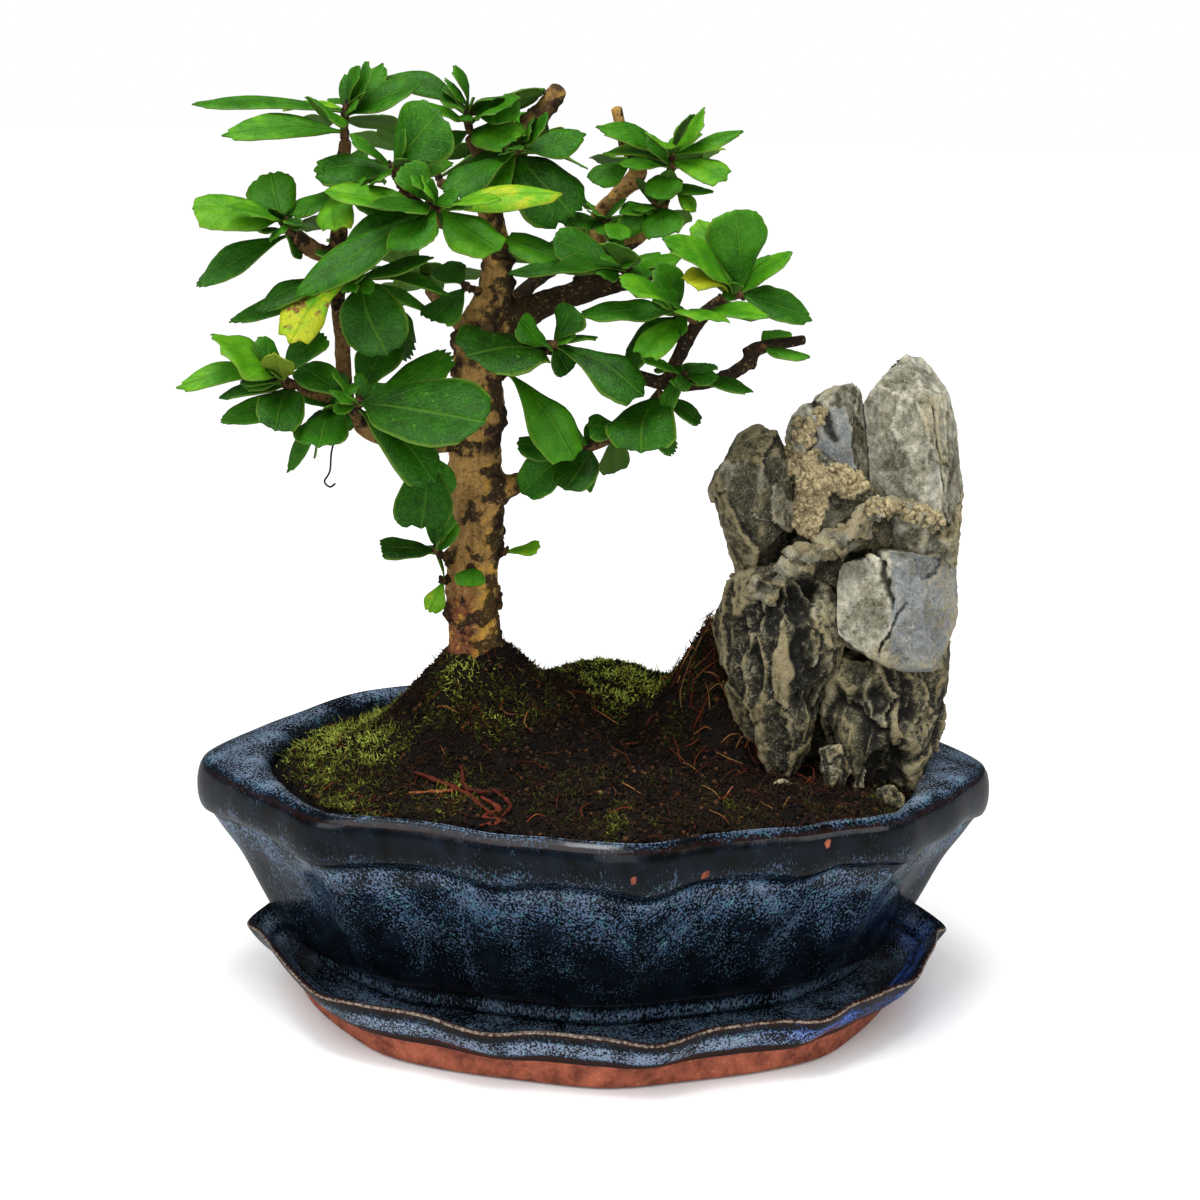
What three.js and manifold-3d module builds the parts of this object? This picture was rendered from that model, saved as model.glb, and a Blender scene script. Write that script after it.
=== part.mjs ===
// A fukien tea bonsai in a glazed lozenge pot on its saucer, beside a rock built up of cemented stones.
// Millimetres, +Z up, the front of the pot towards -Y. The origin is the middle of the saucer's underside.

import * as THREE from 'three';
import { ConvexGeometry } from 'three/addons/geometries/ConvexGeometry.js';
import { mergeVertices } from 'three/addons/utils/BufferGeometryUtils.js';
import Module from 'manifold-3d';

const wasm = await Module();
wasm.setup();

// Driving dimensions

const GAP = 0.3;               // air between two neighbouring pieces that touch on the real thing
const GROWTH = 0.38;           // how far a cutting solid stands off the piece that it clears
const POT_HALF_WIDTH = 120;    // from the middle to a side tip of the lip
const POT_HALF_DEPTH = 90;     // from the middle to the nose at the front
const LIP_TOP = 78.3;
const POT_SHIFT = -2;          // the pot stands this far to the side of the saucer's middle
const LIP_DROOP = 4.3;         // the lip hangs this much lower at its side tips
const SAUCER_FLOOR = 6;
const SAUCER_TIP_RISE = 2;
const POT_FOOT = SAUCER_FLOOR + GAP;
const POT_FLOOR = 13.5;
const DRAIN_RADIUS = 6;
const DRAIN_OFFSET = 42;
const LEAF_THICKNESS = 0.66;
const LARGE_LEAF = 30;         // blades longer than this are folded along the midrib and have a toothed tip

// Quarter outlines seen from above, from the nose at the front to the side tip, in millimetres.
// They are the pot's lip, its mouth, whose side corners are cut off blunt, and the saucer, which is fuller.
const LIP_OUTLINE = [[0, 90], [28, 82.5], [56, 71], [79, 61], [93, 45.5], [107.5, 27], [120, 0]];
const MOUTH_OUTLINE = [[0, 83.3], [26, 76.5], [52, 65.8], [73, 56.5], [85.5, 42.5], [94, 24], [98.5, 0]];
const DISH_OUTLINE = [[0, 89], [30, 83.5], [60, 75], [82, 64], [97, 46], [108.5, 27], [120, 0]];
const STEPS_BETWEEN_POINTS = 2;

// Rows of a ceramic section: outline, width scale, depth scale, height, and its share of the change in
// height at the side tips.
const POT_SECTION = [
  ['lip', 0, 0, POT_FOOT, 0],
  ['lip', 0.66, 0.46, POT_FOOT, 0],
  ['lip', 0.68, 0.475, 11, 0],
  ['lip', 0.765, 0.555, 14.5, 0],
  ['lip', 0.79, 0.585, 19, 0],
  ['lip', 0.975, 0.91, 64.5, 0.8],
  ['lip', 0.993, 0.978, 66.5, 0.9],
  ['lip', 1, 1, 71, 1],
  ['lip', 0.995, 0.99, 76, 1],
  ['lip', 0.965, 0.955, LIP_TOP, 1],
  ['mouth', 1, 1, 77.4, 1],
  ['mouth', 0.98, 0.975, 74, 1],
  ['lip', 0.87, 0.82, 64, 0.8],
  ['lip', 0.7, 0.49, 20, 0],
  ['lip', 0.66, 0.45, POT_FLOOR, 0],
  ['lip', 0, 0, POT_FLOOR, 0],
];
const SAUCER_SECTION = [
  ['dish', 0, 0, 0, 0],
  ['dish', 0.8, 0.8, 0, 0],
  ['dish', 0.815, 0.815, 8.5, 0],
  ['dish', 0.84, 0.84, 10.5, 0.3],
  ['dish', 0.895, 0.89, 16, 0.8],
  ['dish', 0.908, 0.905, 18.5, 1],
  ['dish', 0.895, 0.892, 20, 1],
  ['dish', 0.875, 0.87, 18.6, 1],
  ['dish', 0.855, 0.845, 15, 0.8],
  ['dish', 0.82, 0.79, 13.5, 0.6],
  ['dish', 0.79, 0.74, 8, 0],
  ['dish', 0.75, 0.68, SAUCER_FLOOR, 0],
  ['dish', 0, 0, SAUCER_FLOOR, 0],
];
// The soil's own side, just inside the pot, then rings of its open top as shares of the mouth.
const SOIL_SECTION = [
  ['lip', 0, 0, POT_FLOOR + 0.5, 0],
  ['lip', 0.652, 0.442, POT_FLOOR + 0.5, 0],
  ['lip', 0.69, 0.48, 20, 0],
  ['lip', 0.862, 0.81, 64, 0.8],
];
const SOIL_RINGS = [0.945, 0.76, 0.55, 0.3, 0];
const SOIL_RING_DEPTH = 0.965;   // the top's rings are this much narrower from front to back

// Mounds of the soil: middle x and y, height, spread along x and y.
const SOIL_MOUNDS = [
  [-38, 5, 28, 30, 30],
  [0, 46, 18, 30, 26],
  [36, 22, 37, 13, 21],
];
// The soil between the mounds: height at the pot's side, then how far it domes up in the middle, falls from
// front to back and falls towards the right-hand end.
const SOIL_EDGE = 70;
const SOIL_DOME = 6;
const SOIL_BACK_FALL = 0.03;
const SOIL_END_FALL = 0.1;
const SOIL_END_FROM = 50;
const SOIL_UNEVENNESS = 0.9;

// The trunk with its leader, from below the soil up to the pruned stub at the top.
const TRUNK = {
  points: [
    [-38, 5, 80], [-38, 5, 93], [-39, 5, 104], [-40, 5, 118], [-40, 5, 133], [-39, 5, 145], [-40, 4, 157],
    [-39, 2, 170], [-38, 0, 182], [-39, 0, 193], [-38, 2, 203], [-35, 4, 211], [-34, 6, 219], [-35, 8, 228],
    [-36, 8, 237], [-32, 10, 247], [-27, 12, 256], [-21, 12, 264], [-17, 12, 270],
  ],
  radii: [11, 10, 8.4, 7.9, 7.6, 7.5, 7.6, 6.8, 6.6, 7, 6.6, 4.9, 4.3, 4.1, 3.7, 3.6, 2.9, 2.7, 2.8],
};

// Branches, each from inside the wood that it leaves: points, then the radius at each.
const LIMBS = [
  [[[-36, 3, 198], [-29, 6, 204], [-20, 10, 209], [-7, 12, 213], [8, 12, 217], [15, 12, 222]],
    [6, 5.4, 4.6, 3.6, 2.6, 1.9]],
  [[[-11, 12, 212], [-4, 14, 221], [5, 16, 227], [11, 18, 232], [14, 18, 238], [15, 18, 243]],
    [2.6, 2.5, 2.3, 2.3, 1.9, 1.6]],
  [[[-3, 14, 221], [-5, 20, 233], [1, 22, 240], [7, 24, 247], [3, 24, 255], [0, 24, 265]],
    [2.1, 2.1, 2.4, 2.9, 1.9, 1.7]],
  [[[-37, 2, 193], [-27, -4, 196], [-18, -8, 198], [-1, -10, 193], [15, -12, 189], [29, -10, 190],
    [38, -9, 195], [40, -9, 199], [54, -9, 202]],
    [3.6, 2.8, 2.2, 1.9, 2.1, 1.8, 2.1, 2, 1.5]],
  [[[14, -12, 188], [18, -12, 197], [21, -11, 203], [25, -10, 209], [30, -10, 213]],
    [1.9, 2, 2.1, 2, 1.7]],
  [[[-38, 4, 151], [-31, 4, 155], [-24, 2, 159]],
    [5, 3.6, 2.2]],
  [[[-41, 2, 171], [-54, -8, 170], [-68, -16, 174], [-76, -18, 182], [-83, -20, 185], [-88, -22, 188]],
    [4, 2.8, 2.6, 2.6, 2.5, 2]],
  [[[-76, -18, 181], [-77, -12, 197], [-79, -6, 214], [-79, -4, 224], [-78, -2, 236], [-77, 0, 254]],
    [2.2, 2.2, 2.1, 2.5, 2.1, 1.8]],
  [[[-79, -4, 222], [-85, -8, 224], [-90, -12, 228]],
    [2.2, 2.6, 2.3]],
  [[[-36, 8, 226], [-46, -2, 231], [-54, -12, 234]],
    [2.6, 2, 1.8]],
  [[[-51, -8, 233], [-57, -8, 238], [-61, -8, 241]],
    [1.7, 1.6, 1.5]],
  [[[-35, 9, 242], [-39, 6, 250], [-42, 4, 256]],
    [2.4, 2.1, 1.8]],
  [[[-31, 11, 247], [-29, 11, 250], [-29, 8, 252]],
    [3, 3.2, 2.2]],
  [[[-39, 4, 196], [-46, 24, 202], [-55, 36, 210]],
    [3.4, 2.2, 1.7]],
  [[[-35, 6, 200], [-26, 30, 211], [-15, 42, 218]],
    [3.2, 2.2, 1.7]],
  [[[-35, 9, 233], [-43, 28, 239], [-52, 36, 242]],
    [2.6, 2, 1.6]],
];

// Leafy shoots: name, stem radius, stem points, then each blade: place along the stem from 0 to 1, tip's
// x, y and z, greatest width, turn about its midrib in degrees, and form.
const BACK_FROM = 10;    // tips farther back than this face away from the front
const LEAN = 0.75;
const SHOOTS = [
  ['shoot_top_left', 1.3, [[-77, 0, 253], [-77, -2, 260], [-76, -3, 264]], [
    [0.75, -117, -8, 262, 9, 10, 'pointed'],
    [0.25, -108, -16, 254, 10, 0, 'pointed'],
    [0.8, -94, 4, 266, 8, 15, 'obovate'],
    [0.3, -83, -20, 264, 13, 0, 'obovate'],
    [0.7, -68, 4, 276, 11, -10, 'pointed'],
    [0.6, -56, -6, 271, 12, 0, 'pointed'],
    [0.9, -77, 26, 266, 11, 0, 'obovate'],
    [0.4, -89, 24, 258, 11, 0, 'obovate'],
    [0.5, -67, 24, 262, 11, 0, 'obovate'],
  ]],
  ['shoot_upper_left', 1.3, [[-61, -8, 242], [-62, -12, 246], [-63, -14, 248]], [
    [0.95, -51, -18, 263, 20, 0, 'round'],
    [0.9, -74, -18, 255, 7, 0, 'obovate'],
    [0.5, -84, -14, 246, 14, 0, 'obovate'],
    [0.6, -47, -10, 250, 8, 0, 'pointed'],
    [0.4, -73, 12, 251, 11, 0, 'obovate'],
  ]],
  ['shoot_top', 1.2, [[-42, 4, 257], [-43, 2, 261], [-42, 2, 264]], [
    [0.9, -66, 4, 273, 9, 0, 'pointed'],
    [0.95, -29, -6, 264, 9, 0, 'obovate'],
    [0.4, -54, -8, 264, 8, 0, 'pointed'],
    [0.3, -31, -12, 265, 15, 0, 'obovate'],
    [0.1, -30, -10, 257, 14, 0, 'round'],
    [0.7, -21, 12, 268, 12, 0, 'round'],
    [0.1, -56, 2, 251, 12, 0, 'obovate'],
    [0.6, -49, 26, 266, 11, 0, 'obovate'],
  ]],
  ['shoot_stub', 1.3, [[-30, 9, 250], [-29, 2, 252], [-28, -3, 254]], [
    [0.7, -47, -24, 242, 11, 0, 'obovate'],
    [0.8, -10, 6, 257, 10, 10, 'pointed'],
    [0.6, -9, 2, 249, 8, -25, 'pointed'],
    [0.95, -25, -8, 261, 9, 0, 'obovate'],
    [0.8, -21, -10, 262, 9, 0, 'obovate'],
    [0.5, -12, -4, 236, 22, 0, 'round'],
    [0.5, -40, -10, 240, 14, 0, 'obovate'],
  ]],
  ['shoot_stub_back', 1.2, [[-28, 14, 254], [-27, 22, 255], [-26, 28, 256]], [
    [0.6, -17, 44, 255, 11, 0, 'obovate'],
    [0.8, -33, 46, 261, 11, 0, 'obovate'],
    [0.9, -24, 52, 263, 11, 0, 'obovate'],
  ]],
  ['shoot_left', 1.4, [[-90, -12, 228], [-92, -14, 230], [-93, -15, 233]], [
    [0.9, -115, -24, 238, 15, 0, 'round'],
    [0.8, -103, -32, 237, 12, 0, 'obovate'],
    [0.95, -97, -8, 245, 14, 0, 'round'],
    [0.35, -101, -12, 231, 9, 25, 'obovate'],
    [0.2, -115, -24, 216, 9, 0, 'pointed'],
    [0.6, -86, 20, 228, 9, 0, 'obovate'],
    [0.5, -102, 12, 238, 11, 0, 'obovate'],
  ]],
  ['shoot_left_inner', 1.2, [[-78, -2, 237], [-77, -6, 240], [-76, -8, 242]], [
    [0.8, -78, -24, 231, 11, 0, 'round'],
    [0.7, -92, -12, 236, 10, 0, 'pointed'],
    [0.4, -88, 10, 238, 9, 0, 'obovate'],
    [0.95, -65, -20, 236, 8, 0, 'obovate'],
    [0.5, -82, 22, 246, 11, 0, 'obovate'],
    [0.6, -71, 22, 243, 11, 0, 'obovate'],
  ]],
  ['shoot_front', 1.5, [[-55, -14, 235], [-52, -22, 238], [-49, -26, 237]], [
    [0.3, -79, -26, 243, 13, 0, 'pointed'],
    [0.5, -59, -25, 248, 11, 0, 'obovate'],
    [0.6, -63, -40, 238, 16, 0, 'obovate'],
    [0.7, -53, -30, 245, 9, 0, 'round'],
    [0.9, -18, -30, 244, 10, 0, 'pointed'],
    [0.95, -33, -42, 240, 8, 0, 'pointed'],
    [0.8, -59, -44, 227, 13, 0, 'obovate'],
    [0.2, -75, -26, 226, 10, 0, 'pointed'],
    [0.35, -86, -42, 215, 12, 0, 'pointed'],
    [1.0, -33, -34, 227, 14, 0, 'round'],
  ]],
  ['shoot_centre_left', 1.4, [[-78, -8, 214], [-74, -16, 217], [-71, -20, 218]], [
    [0.2, -98, -28, 211, 10, 0, 'pointed'],
    [0.1, -106, -22, 205, 8, 0, 'pointed'],
    [0.3, -89, -34, 201, 13, 0, 'obovate'],
    [0.8, -52, -26, 224, 8, 0, 'pointed'],
    [0.9, -47, -22, 216, 8, 0, 'pointed'],
    [0.95, -63, -34, 198, 18, 0, 'round'],
    [0.6, -56, -6, 196, 13, 0, 'obovate'],
    [0.5, -52, -4, 207, 6, 0, 'pointed'],
    [0.4, -77, 14, 219, 11, 0, 'obovate'],
  ]],
  ['shoot_lower_left', 1.5, [[-89, -22, 188], [-91, -25, 188], [-93, -28, 192]], [
    [0.9, -108, -36, 203, 20, 0, 'round'],
    [0.7, -92, -44, 201, 9, 0, 'pointed'],
    [0.95, -119, -34, 189, 8, 0, 'pointed'],
    [0.6, -108, -34, 187, 7, 0, 'pointed'],
    [0.3, -108, -32, 179, 8, 0, 'pointed'],
    [0.25, -92, -44, 181, 13, 0, 'round'],
    [0.8, -82, -24, 203, 10, 0, 'obovate'],
    [0.4, -101, 0, 189, 10, 0, 'obovate'],
  ]],
  ['shoot_lower_left_inner', 1.2, [[-78, -18, 182], [-79, -22, 182], [-80, -23, 181]], [
    [0.6, -81, -42, 175, 15, 0, 'round'],
    [0.9, -92, -22, 164, 5, 0, 'pointed'],
    [0.5, -86, -10, 166, 5, 0, 'pointed'],
    [0.8, -87, -20, 178, 10, 0, 'obovate'],
  ]],
  ['shoot_big_front', 1.5, [[-72, -24, 180], [-72, -28, 183], [-71, -32, 185]], [
    [0.95, -36, -52, 182, 26, 0, 'round'],
    [0.5, -50, -40, 165, 16, 0, 'obovate'],
    [0.8, -47, -14, 196, 13, 0, 'obovate'],
    [0.9, -88, -18, 194, 12, 0, 'obovate'],
    [0.7, -64, -12, 200, 13, 0, 'obovate'],
  ]],
  ['shoot_hanging', 1.2, [[-50, -6, 170], [-53, -12, 169], [-55, -17, 168]], [
    [0.95, -54, -26, 148, 17, 0, 'notched'],
    [0.6, -46, -16, 157, 9, 0, 'obovate'],
  ]],
  ['trunk_shoot_left', 1.1, [[-46, 0, 134], [-49, -6, 137], [-51, -8, 139]], [
    [0.8, -66, -14, 142, 9, 0, 'notched'],
    [0.9, -47, -14, 150, 6, 0, 'obovate'],
    [0.5, -56, 10, 138, 7, 0, 'obovate'],
  ]],
  ['sprout_front', 0.9, [[-40, -2, 131], [-40, -6, 133], [-41, -8, 134]], [
    [0.9, -40, -14, 130, 9, 0, 'round'],
  ]],
  ['sprout_left', 0.9, [[-47, 4, 127], [-48, 2, 128], [-49, 0, 128]], [
    [0.8, -53, -2, 119, 7, 20, 'obovate'],
  ]],
  ['sprout_right', 0.9, [[-32, 4, 136], [-31, 3, 136], [-30, 2, 137]], [
    [0.8, -21, -3, 140, 6, 0, 'obovate'],
  ]],
  ['shoot_dark_front', 1.4, [[-21, -8, 197], [-19, -14, 199], [-17, -17, 200]], [
    [0.3, -41, -34, 199, 25, 0, 'round'],
    [0.8, -13, -18, 211, 11, 0, 'obovate'],
    [0.9, 7, -28, 189, 15, 0, 'obovate'],
    [0.7, -13, -14, 192, 9, 0, 'obovate'],
    [0.6, -27, -16, 207, 11, 0, 'obovate'],
  ]],
  ['sprout_right_high', 1.0, [[-34, -3, 190], [-32, -8, 191], [-30, -10, 191]], [
    [0.9, -11, -24, 171, 15, 0, 'obovate'],
  ]],
  ['shoot_right_low', 1.4, [[13, -14, 187], [6, -13, 178], [-4, -10, 171], [-12, -8, 168]], [
    [0.04, 6, -36, 175, 20, 0, 'round'],
    [0.45, -7, -14, 178, 12, 0, 'obovate'],
    [0.3, 18, -12, 170, 8, 0, 'obovate'],
    [0.02, 25, -16, 180, 8, 0, 'obovate'],
    [0.95, -27, -10, 172, 10, 0, 'obovate'],
    [0.75, -14, -20, 160, 13, 0, 'round'],
    [0.8, -6, -4, 156, 5, 0, 'pointed'],
    [0.97, -26, -12, 157, 12, 0, 'round'],
    [0.5, 1, 12, 160, 10, 0, 'obovate'],
  ]],
  ['shoot_twig_base', 1.1, [[18, -14, 188], [19, -18, 191], [19, -20, 193]], [
    [0.4, 37, -26, 190, 9, 0, 'pointed'],
    [0.9, 13, -8, 195, 8, 0, 'obovate'],
    [0.6, 29, 6, 195, 9, 0, 'obovate'],
  ]],
  ['shoot_twig_end', 1.0, [[40, -9, 198], [41, -12, 200], [42, -14, 200]], [
    [0.5, 54, -18, 198, 7, 0, 'pointed'],
    [0.6, 50, 6, 203, 8, 0, 'obovate'],
  ]],
  ['shoot_upper_right', 1.3, [[15, 18, 242], [16, 16, 248], [16, 14, 253]], [
    [0.9, -5, 2, 260, 11, 0, 'pointed'],
    [0.97, 23, 4, 265, 11, 0, 'obovate'],
    [0.95, 9, -6, 258, 8, 0, 'obovate'],
    [0.9, 35, 8, 259, 9, 0, 'pointed'],
    [0.7, -3, 6, 254, 7, 0, 'pointed'],
    [0.6, 1, -2, 248, 8, 0, 'obovate'],
    [0.75, 30, 0, 247, 11, 0, 'obovate'],
    [0.4, 11, 0, 241, 10, 0, 'round'],
    [0.15, 27, 6, 243, 8, 0, 'pointed'],
    [0.2, 22, 6, 237, 6, 0, 'obovate'],
    [0.8, 22, 40, 260, 11, 0, 'obovate'],
    [0.7, 8, 40, 257, 11, 0, 'obovate'],
    [0.5, 32, 40, 252, 11, 0, 'obovate'],
  ]],
  ['shoot_upper_right_low', 1.1, [[13, 18, 235], [12, 12, 237], [11, 8, 239]], [
    [0.6, 13, -4, 230, 12, 0, 'round'],
    [0.8, 1, 4, 236, 7, 0, 'pointed'],
    [0.4, 20, 30, 233, 10, 0, 'obovate'],
  ]],
  ['shoot_upper_mid', 1.0, [[6, 24, 250], [5, 18, 251], [4, 14, 252]], [
    [0.7, -7, 6, 244, 9, 0, 'obovate'],
    [0.5, -4, 42, 250, 10, 0, 'obovate'],
  ]],
  ['shoot_right_inner', 1.5, [[22, -12, 207], [19, -16, 209], [16, -18, 210]], [
    [0.9, -10, -16, 208, 13, 0, 'pointed'],
    [0.8, 2, -34, 220, 13, 0, 'obovate'],
    [0.85, 12, -22, 223, 11, 0, 'pointed'],
    [0.6, 1, -8, 196, 13, 0, 'obovate'],
    [0.3, 7, -34, 201, 10, 0, 'obovate'],
    [0.2, 37, -40, 214, 12, 0, 'pointed'],
    [0.5, 25, -42, 213, 12, 0, 'obovate'],
    [0.7, 8, 10, 211, 11, 0, 'obovate'],
    [0.4, 18, 12, 199, 10, 0, 'obovate'],
  ]],
  ['shoot_right', 1.5, [[28, -10, 212], [32, -12, 214], [35, -13, 215]], [
    [0.95, 32, -18, 238, 18, 0, 'obovate'],
    [0.7, 14, -36, 232, 13, 0, 'pointed'],
    [0.8, 24, -2, 236, 9, 0, 'obovate'],
    [0.9, 47, -20, 227, 9, 0, 'pointed'],
    [0.85, 44, 4, 225, 8, 0, 'obovate'],
    [0.5, 19, -34, 221, 9, 0, 'round'],
    [0.6, 19, -24, 227, 11, 0, 'pointed'],
    [0.9, 54, -18, 210, 12, 0, 'pointed'],
    [0.3, 39, 28, 221, 11, 0, 'obovate'],
    [0.4, 49, 24, 213, 11, 0, 'obovate'],
  ]],
  ['shoot_middle', 1.3, [[-2, 11, 215], [-1, -2, 219], [1, -8, 221], [5, -10, 220]], [
    [0.6, -18, -10, 229, 14, 0, 'obovate'],
    [0.3, -32, -2, 227, 14, 0, 'obovate'],
    [0.95, -18, -26, 223, 8, 0, 'pointed'],
    [0.8, 0, -26, 228, 13, 0, 'obovate'],
    [0.5, -30, -14, 219, 8, 0, 'pointed'],
    [0.9, 17, -14, 225, 11, 0, 'obovate'],
  ]],
  ['shoot_middle_up', 1.1, [[-4, 18, 232], [-4, 12, 233], [-3, 8, 233]], [
    [0.6, -16, 2, 234, 9, 0, 'pointed'],
    [0.9, 1, -6, 230, 8, 0, 'obovate'],
    [0.5, -11, 34, 239, 10, 0, 'obovate'],
  ]],
  ['shoot_trunk_left', 1.1, [[-39, 2, 213], [-42, -2, 214], [-43, -4, 215]], [
    [0.7, -52, -14, 206, 13, 0, 'obovate'],
    [0.9, -50, 6, 221, 11, 0, 'obovate'],
  ]],
];

// Shoots behind the crown, whose blades fan out by a rule: name, stem, number of blades, seed.
const BACK_SHOOTS = [
  ['shoot_back_left', [[-55, 36, 211], [-60, 41, 214], [-66, 45, 217]], 6, 3],
  ['shoot_back_right', [[-15, 42, 219], [-11, 47, 222], [-6, 50, 224]], 5, 5],
  ['shoot_back_top', [[-52, 36, 243], [-54, 39, 248], [-55, 41, 253]], 5, 8],
];
const FAN_TURN = 137.5;      // degrees between one blade and the next
const FAN_LENGTH = [22, 30];
const FAN_RISE = [-0.15, 0.45];
const FAN_BACK = 8;           // how far the whole fan leans to the back
const FAN_DEPTH = 0.6;        // how far it spreads from front to back, against its width
const FAN_START = 40;         // degrees by which a seed turns it
const FAN_WIDTH = 0.42;       // a blade's width against its length
const STEM_RADIUS = 1.3;
const ROOT_LIFT = 0.5;

// The rock's stones, front ones first: name, corners of the rough block, rounds of splitting, hollows' depth.
const CRAG_CLEARANCE = 1.5;
const STONES = [
  ['rock_spire', [
    [86, 4, 199], [92, 8, 197], [79, 0, 192], [97, 2, 189], [84, -9, 188], [74, 0, 183], [103, 4, 176],
    [88, -14, 177], [91, 20, 182], [76, -6, 162], [105, 4, 160], [92, -17, 158], [90, 24, 158],
    [77, -6, 140], [104, 0, 138], [90, -12, 138], [90, 22, 136]], 1, 2.2],
  ['rock_boulder', [
    [31, 2, 156], [32, 0, 166], [35, 2, 171], [43, 4, 174], [50, 2, 172], [54, 0, 165], [46, -11, 166],
    [37, -9, 160], [52, -8, 152], [54, 2, 142], [49, 0, 130], [40, 0, 130], [35, 0, 142], [44, -10, 140],
    [44, 16, 166], [36, 14, 154], [50, 16, 150], [44, 12, 132]], 1, 1.6],
  ['rock_wedge', [
    [50, -2, 177], [56, -6, 183], [62, -2, 187], [70, 0, 189], [73, 4, 185], [66, -9, 178], [77, 2, 165],
    [70, -10, 160], [78, 4, 154], [62, 14, 178], [72, 16, 165], [56, -8, 168], [60, -8, 152],
    [54, 8, 158], [66, 12, 148]], 1, 1.4],
  ['rock_slab_front', [
    [66, -14, 137], [80, -22, 142], [98, -12, 140], [103, -4, 135], [84, -28, 126], [66, -20, 120],
    [102, -14, 122], [92, -24, 107], [76, -24, 112], [100, -4, 110], [70, -8, 112], [80, 0, 140],
    [90, 2, 116]], 1, 1.8],
  ['rock_columns_left', [
    [35, -2, 122], [40, -6, 131], [48, -10, 136], [57, -6, 135], [64, -10, 124], [44, -18, 124],
    [56, -20, 118], [33, 2, 116], [38, -8, 102], [64, -14, 108], [57, -22, 98], [44, -14, 86],
    [50, -18, 70], [56, -14, 74], [50, 6, 68], [69, -13, 114], [68, -12, 124], [66, -12, 98],
    [34, 12, 116], [44, 16, 128], [60, 14, 126],
    [62, 12, 104], [42, 12, 88]], 1, 3.4],
  ['rock_columns_right', [
    [64, -10, 106], [80, -18, 112], [98, -14, 110], [102, -4, 112], [101, -10, 98], [101, -4, 84],
    [96, -14, 78], [66, -12, 88], [84, -22, 92], [76, -22, 84], [74, -20, 70], [82, -16, 68], [70, -14, 86],
    [92, 0, 70], [96, 10, 100], [76, 10, 110], [78, 8, 70], [92, 14, 90]], 1, 3.2],
  ['rock_foot', [
    [62, -22, 84], [68, -24, 86], [71, -20, 78], [66, -26, 74], [64, -22, 64], [70, -18, 64],
    [66, -12, 82], [68, -10, 66]], 1, 0.8],
  ['rock_edge', [
    [102, 8, 164], [105, 2, 158], [102, -4, 150], [104, 4, 140], [101, -8, 136], [102, 8, 122],
    [98, -6, 120], [96, 16, 130], [96, 14, 160]], 0, 0],
  ['rock_back', [
    [46, 18, 150], [56, 20, 168], [76, 22, 172], [94, 24, 150], [100, 18, 130], [98, 20, 88],
    [60, 22, 68], [88, 22, 68], [44, 16, 96], [40, 16, 130], [60, 34, 130], [84, 34, 128],
    [66, 32, 96], [88, 30, 94], [70, 26, 66]], 1, 2.4],
  ['rock_mortar', [
    [52, -6, 168], [60, -12, 172], [72, -12, 165], [79, -14, 152], [60, -14, 146], [100, -8, 146],
    [62, -8, 128], [92, -8, 130], [54, -4, 98], [92, -4, 98], [56, 0, 72], [90, 2, 70], [46, 14, 146],
    [98, 16, 142], [54, 16, 72], [90, 18, 72], [60, 8, 168]], 0, 0],
];

// Small stones, bark and roots that lie on the soil.
const LOOSE_STONES = [
  ['loose_stone_pale', [
    [46, -34, 70], [50, -37, 65], [60, -37, 65], [63, -32, 67], [58, -28, 74], [50, -28, 76],
    [47, -28, 73], [55, -24, 70], [52, -26, 64], [60, -26, 65]], 1, 0.6],
  ['loose_stone_brown', [
    [78, -26, 70], [82, -30, 66], [86, -28, 67], [87, -25, 71], [84, -24, 74], [80, -24, 73],
    [82, -23, 65], [87, -22, 66]], 1, 0.5],
  ['bark_chip_front', [
    [-8, -44, 74], [2, -40, 76], [3, -38, 75], [-7, -41, 74], [-3, -40, 77], [-2, -44, 73], [-8, -42, 72],
    [2, -39, 72]], 0, 0],
  ['bark_chip_back', [
    [-15, 34, 88], [-11, 36, 92], [-9, 35, 91], [-14, 32, 87], [-11, 34, 92], [-12, 36, 87], [-9, 33, 87],
    [-14, 35, 87]], 0, 0],
];
const ROOT = [
  [[[-55, -34, 0], [-47, -40, 0], [-40, -48, 0], [-33, -60, 0]], [0.9, 1.3, 1.3, 0.8]],
  [[[-42, -36, 0], [-40, -45, 0], [-30, -46, 0]], [0.8, 1.2, 0.8]],
];

// Welds a geometry's corners together and drops the triangles that this collapses.
function weld(geometry) {
  geometry.deleteAttribute('normal');
  geometry.deleteAttribute('uv');
  const welded = mergeVertices(geometry, 1e-3);
  const corners = welded.index.array;
  const kept = [];
  for (let i = 0; i < corners.length; i += 3) {
    const [a, b, c] = [corners[i], corners[i + 1], corners[i + 2]];
    if (a !== b && b !== c && c !== a) {
      kept.push(a, b, c);
    }
  }
  welded.setIndex(kept);
  return welded;
}

// Six times the volume that a welded geometry encloses, negative where its faces point inward.
function signedVolume(geometry) {
  const position = geometry.attributes.position;
  const corners = geometry.index.array;
  const [a, b, c] = [new THREE.Vector3(), new THREE.Vector3(), new THREE.Vector3()];
  let total = 0;
  for (let i = 0; i < corners.length; i += 3) {
    a.fromBufferAttribute(position, corners[i]);
    b.fromBufferAttribute(position, corners[i + 1]);
    c.fromBufferAttribute(position, corners[i + 2]);
    total += a.dot(b.cross(c));
  }
  return total;
}

// A closed geometry as a solid that can be joined and cut, with its faces turned outward.
function solidOf(geometry) {
  const welded = weld(geometry);
  const triVerts = new Uint32Array(welded.index.array);
  if (signedVolume(welded) < 0) {
    triVerts.reverse();
  }
  const vertProperties = new Float32Array(welded.attributes.position.array);
  return new wasm.Manifold(new wasm.Mesh({ numProp: 3, vertProperties, triVerts }));
}

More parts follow.
